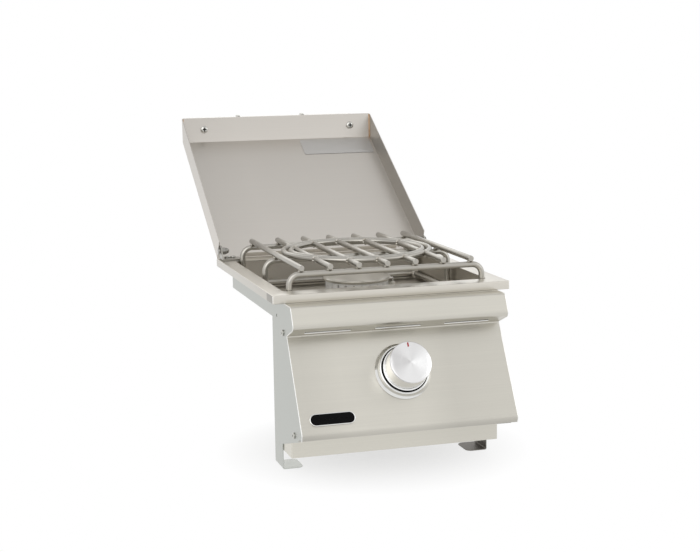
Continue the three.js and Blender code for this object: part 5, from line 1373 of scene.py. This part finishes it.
def hinge_skin(side, distance):
    """Stations along the foot and up the ear; at each, places between its front and rear edges."""
    corners = [(EAR_OUT - FOOT_WIDE, GAP, 0), (EAR_OUT, GAP, HINGE_BEND), (EAR_OUT, PIVOT_Z, 0)]
    line = bent_line(corners, distance, 7)
    rise = np.sin(np.radians(spread(0, 89, 14)))
    top = np.stack([np.full(14, EAR_OUT - distance), PIVOT_Z + EAR * rise], 1)
    line = np.concatenate([line[:-1], top])
    half_circle = EAR * np.sqrt(1 - np.clip((line[:, 1] - PIVOT_Z) / EAR, 0, 1) ** 2)
    share = np.clip((line[:, 1] - GAP - HINGE) / (PIVOT_Z - GAP - HINGE), 0, 1)
    front = FOOT_FRONT + (PIVOT_Y - half_circle - FOOT_FRONT) * share
    rear = FOOT_BACK + (PIVOT_Y + half_circle - FOOT_BACK) * share
    y = front[:, None] + (rear - front)[:, None] * spread(0, 1, 7)[None, :]
    x = np.broadcast_to(side * line[:, :1], y.shape)
    return np.stack([x, y, np.broadcast_to(line[:, 1:], y.shape)], 2)


NUT_AT, DOME_AT = 159.6, 153.9
FOOT_SCREWS, FOOT_SCREW_AT = (("outer", 11.3), ("inner", 20.5)), (345.0, 2.6)
bolt_line = [(0, -11.5), (3, -11.5), (3, 0), (5.5, 0), (5.5, 0.7), (5.2, 1.2), (4.2, 1.6), (2.5, 1.7),
             (0, 1.7)]
dome_line = [(0, 0.2), (3.3, 0.2), (4.6, 0.2), (4.7, 1.5), *arc((0, 1.5), 4.3, 0, 88, 10), (0, 5.8)]
nut_line = [(3.3, -6), (5.0, -6), (5.77, -5.4), (5.77, -0.5), (5.0, 0), (3.3, 0), (3.3, -6)]
for side_name, side in SIDES:
    body = sheet(hinge_skin(side, 0), hinge_skin(side, HINGE))
    build(f"hinge_{side_name}", body, "housing", steel_hinge, [f"hinge_bracket_{side_name}"], EASE)
    axes, inner_axes = (Y, Z * side, X * side), (Y, -Z * side, -X * side)
    seat, nut_at, dome_at = ((side * out, PIVOT_Y, PIVOT_Z) for out in (LID_HALF + GAP, NUT_AT, DOME_AT))
    build(f"bolt_{side_name}", turned(bolt_line, seat, axes, 48), "housing", steel_nut,
          [f"pivot_bolt_{side_name}"])
    nut = together(turned(nut_line, nut_at, axes, 6), turned(dome_line, dome_at, inner_axes, 48))
    build(f"domed_nut_{side_name}", nut, "housing", steel_nut, [f"cap_nut_{side_name}"])
    for place_name, inset in FOOT_SCREWS:
        node = f"hinge_screw_{side_name}_{place_name}"
        put_screw(f"{node}_head", node, (side * (EAR_OUT - inset), *FOOT_SCREW_AT), Z)

# %% [markdown]
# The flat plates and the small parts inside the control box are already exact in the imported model, so they
# stay, and get finishes of their own.

# %% Finishes of the pieces that stay
kept_finish = {
    "side_plate_left": steel_plate, "side_plate_right": steel_plate_right, "rear_panel": steel_plate,
    "valve_bracket": steel_plate, "electrode_bracket": steel_plate, "valve_body": brass, "valve_plug": brass,
    "valve_stem": brass, "orifice": brass, "piezo_igniter": moulded,
}
for node_name, material in kept_finish.items():
    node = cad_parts[node_name]
    for place in node.material_slots:
        place.material = material
print("kept", len(kept_finish), "made", len(made))

# %% [markdown]
# The floor is pale and plain, and lies under the feet. Near the appliance it keeps its shadow; farther out
# it fades to the white of the world, so there is no horizon.

# %% Floor
FLOOR_LEVEL, FLOOR_REACH, FLOOR_TONE = -243.0 - GAP, 9000.0, 0.9
SHADE_AT, SHADE_HALF, SHADE_FADE = (0, -0.25, 0), 0.1, 0.22


def flat_board(name, low, high, level):
    """A flat rectangle at a level, between two corners in plan."""
    (x0, y0), (x1, y1) = low, high
    corners = np.array([[[x0, y0, level], [x1, y0, level]], [[x0, y1, level], [x1, y1, level]]], float)
    points, faces = surface(corners)
    mesh = bpy.data.meshes.new(name)
    mesh.from_pydata(to_frame(points).tolist(), [], faces.tolist())
    thing = bpy.data.objects.new(name, mesh)
    bpy.context.scene.collection.objects.link(thing)
    return thing


floor = flat_board("floor", (-FLOOR_REACH, -FLOOR_REACH), (FLOOR_REACH, FLOOR_REACH), FLOOR_LEVEL)
pale = Finish("floor_pale", Roughness=0.8)
pale.give("Base Color", (FLOOR_TONE, FLOOR_TONE, FLOOR_TONE, 1))
beside = pale.node("VectorMath", {"operation": "SUBTRACT"}, {0: pale.here(), 1: SHADE_AT})
distance = pale.node("VectorMath", {"operation": "LENGTH"}, {0: beside}, out=1)
paths = pale.node("LightPath").socket.node.outputs
camera_ray, glossy_ray, clear_ray = (
    Reading(pale, paths[f"Is {kind} Ray"]) for kind in ("Camera", "Glossy", "Transmission"))
seen = (above(distance, SHADE_HALF, SHADE_FADE) * camera_ray + (glossy_ray + clear_ray)).clip()
glow = pale.node("Emission", {}, {"Color": (1, 1, 1, 1), "Strength": 1.0})
mixed = pale.node("MixShader", {}, {0: seen, 2: glow})
pale.tree.links.new(pale.shader.outputs[0], mixed.socket.node.inputs[1])
output = next(node for node in pale.tree.nodes if node.type == "OUTPUT_MATERIAL")
pale.tree.links.new(mixed.socket, output.inputs[0])
floor.data.materials.append(pale.material)

# %% [markdown]
# The world is white where the camera, a reflection or a clear material looks at it, and gives a plain soft
# light otherwise. Three broad area lamps model the shapes.

# %% World and lamps
SOFT_LIGHT = 0.55
world = bpy.data.worlds.new("studio")
bpy.context.scene.world = world
world.use_nodes = True
sky = world.node_tree
sky.nodes.clear()
path, soft, white, first, second, choice, sky_out = (
    sky.nodes.new("ShaderNode" + kind)
    for kind in ("LightPath", "Background", "Background", "Math", "Math", "MixShader", "OutputWorld"))
for light, strength in ((soft, SOFT_LIGHT), (white, 1.0)):
    light.inputs["Color"].default_value = (1, 1, 1, 1)
    light.inputs["Strength"].default_value = strength
first.operation = second.operation = "MAXIMUM"
for start, end in (
        (path.outputs["Is Camera Ray"], first.inputs[0]), (path.outputs["Is Glossy Ray"], first.inputs[1]),
        (first.outputs[0], second.inputs[0]), (path.outputs["Is Transmission Ray"], second.inputs[1]),
        (second.outputs[0], choice.inputs[0]), (soft.outputs[0], choice.inputs[1]),
        (white.outputs[0], choice.inputs[2]), (choice.outputs[0], sky_out.inputs[0])):
    sky.links.new(start, end)


def lamp(name, place, aim, size, power):
    """A square area lamp at a place, turned to face another."""
    light = bpy.data.lights.new(name, "AREA")
    light.size = size
    light.energy = power
    thing = bpy.data.objects.new(name, light)
    thing.location = place
    way = Vector(aim) - Vector(place)
    thing.rotation_euler = way.to_track_quat("-Z", "Y").to_euler()
    bpy.context.scene.collection.objects.link(thing)


lamp("key", (-2.6, -3.6, 2.6), aim=(0, -0.15, 0), size=4.2, power=62)
lamp("fill", (3.4, -2.2, 1.4), aim=(0, -0.15, 0), size=2.6, power=18)
lamp("back", (0.3, 2.8, 2.4), aim=(0, -0.1, 0), size=2.6, power=18)
print("lamps", len(bpy.data.lights))

# %% [markdown]
# Polished and brushed metal look flat in an all-white room. A studio hangs dull grey boards where the
# metal should have tone: here one hangs overhead, toward the back. Only reflections see it.

# %% Board overhead
BOARD_LOW, BOARD_HIGH, BOARD_LEVEL, BOARD_TONE = (-1500.0, -100.0), (1500.0, 2200.0), 1500.0, 0.74
board = flat_board("board_overhead", BOARD_LOW, BOARD_HIGH, BOARD_LEVEL)
board.visible_camera = board.visible_diffuse = board.visible_shadow = board.visible_transmission = False
dull = Finish("board_grey", Base_Color=(0, 0, 0, 1), Roughness=1.0, Specular_IOR_Level=0.0)
dull.give("Emission Color", (BOARD_TONE, BOARD_TONE, BOARD_TONE, 1))
dull.give("Emission Strength", 1.0)
board.data.materials.append(dull.material)

# %% [markdown]
# The camera stands to the left, a little above, with a long lens. Its heading, pitch and small roll are
# written as angles, and its focal length in image widths.

# %% Camera
CAMERA_AT, HEADING, PITCH_DOWN, ROLL = (-607.45, -1836.94, 324.46), 16.59, 9.03, -0.84
FOCAL_SHARE, SENSOR, FARTHEST = 1487.58 / 700, 36.0, 50
heading, pitch, roll = (math.radians(a) for a in (HEADING, PITCH_DOWN, ROLL))
ahead = Vector((math.sin(heading) * math.cos(pitch), math.cos(heading) * math.cos(pitch), -math.sin(pitch)))
level = Vector((math.cos(heading), -math.sin(heading), 0))
upright = level.cross(ahead)
right = level * math.cos(roll) + upright * math.sin(roll)
up = upright * math.cos(roll) - level * math.sin(roll)
data = bpy.data.cameras.new("camera")
data.sensor_width = SENSOR
data.lens = FOCAL_SHARE * SENSOR
data.clip_end = FARTHEST
camera = bpy.data.objects.new("camera", data)
turn = Matrix((right, up, -ahead)).transposed().to_4x4()
camera.matrix_world = Matrix.Translation(Vector(to_frame(CAMERA_AT))) @ turn
bpy.context.scene.collection.objects.link(camera)
bpy.context.scene.camera = camera
bpy.context.scene.view_settings.view_transform = "Standard"
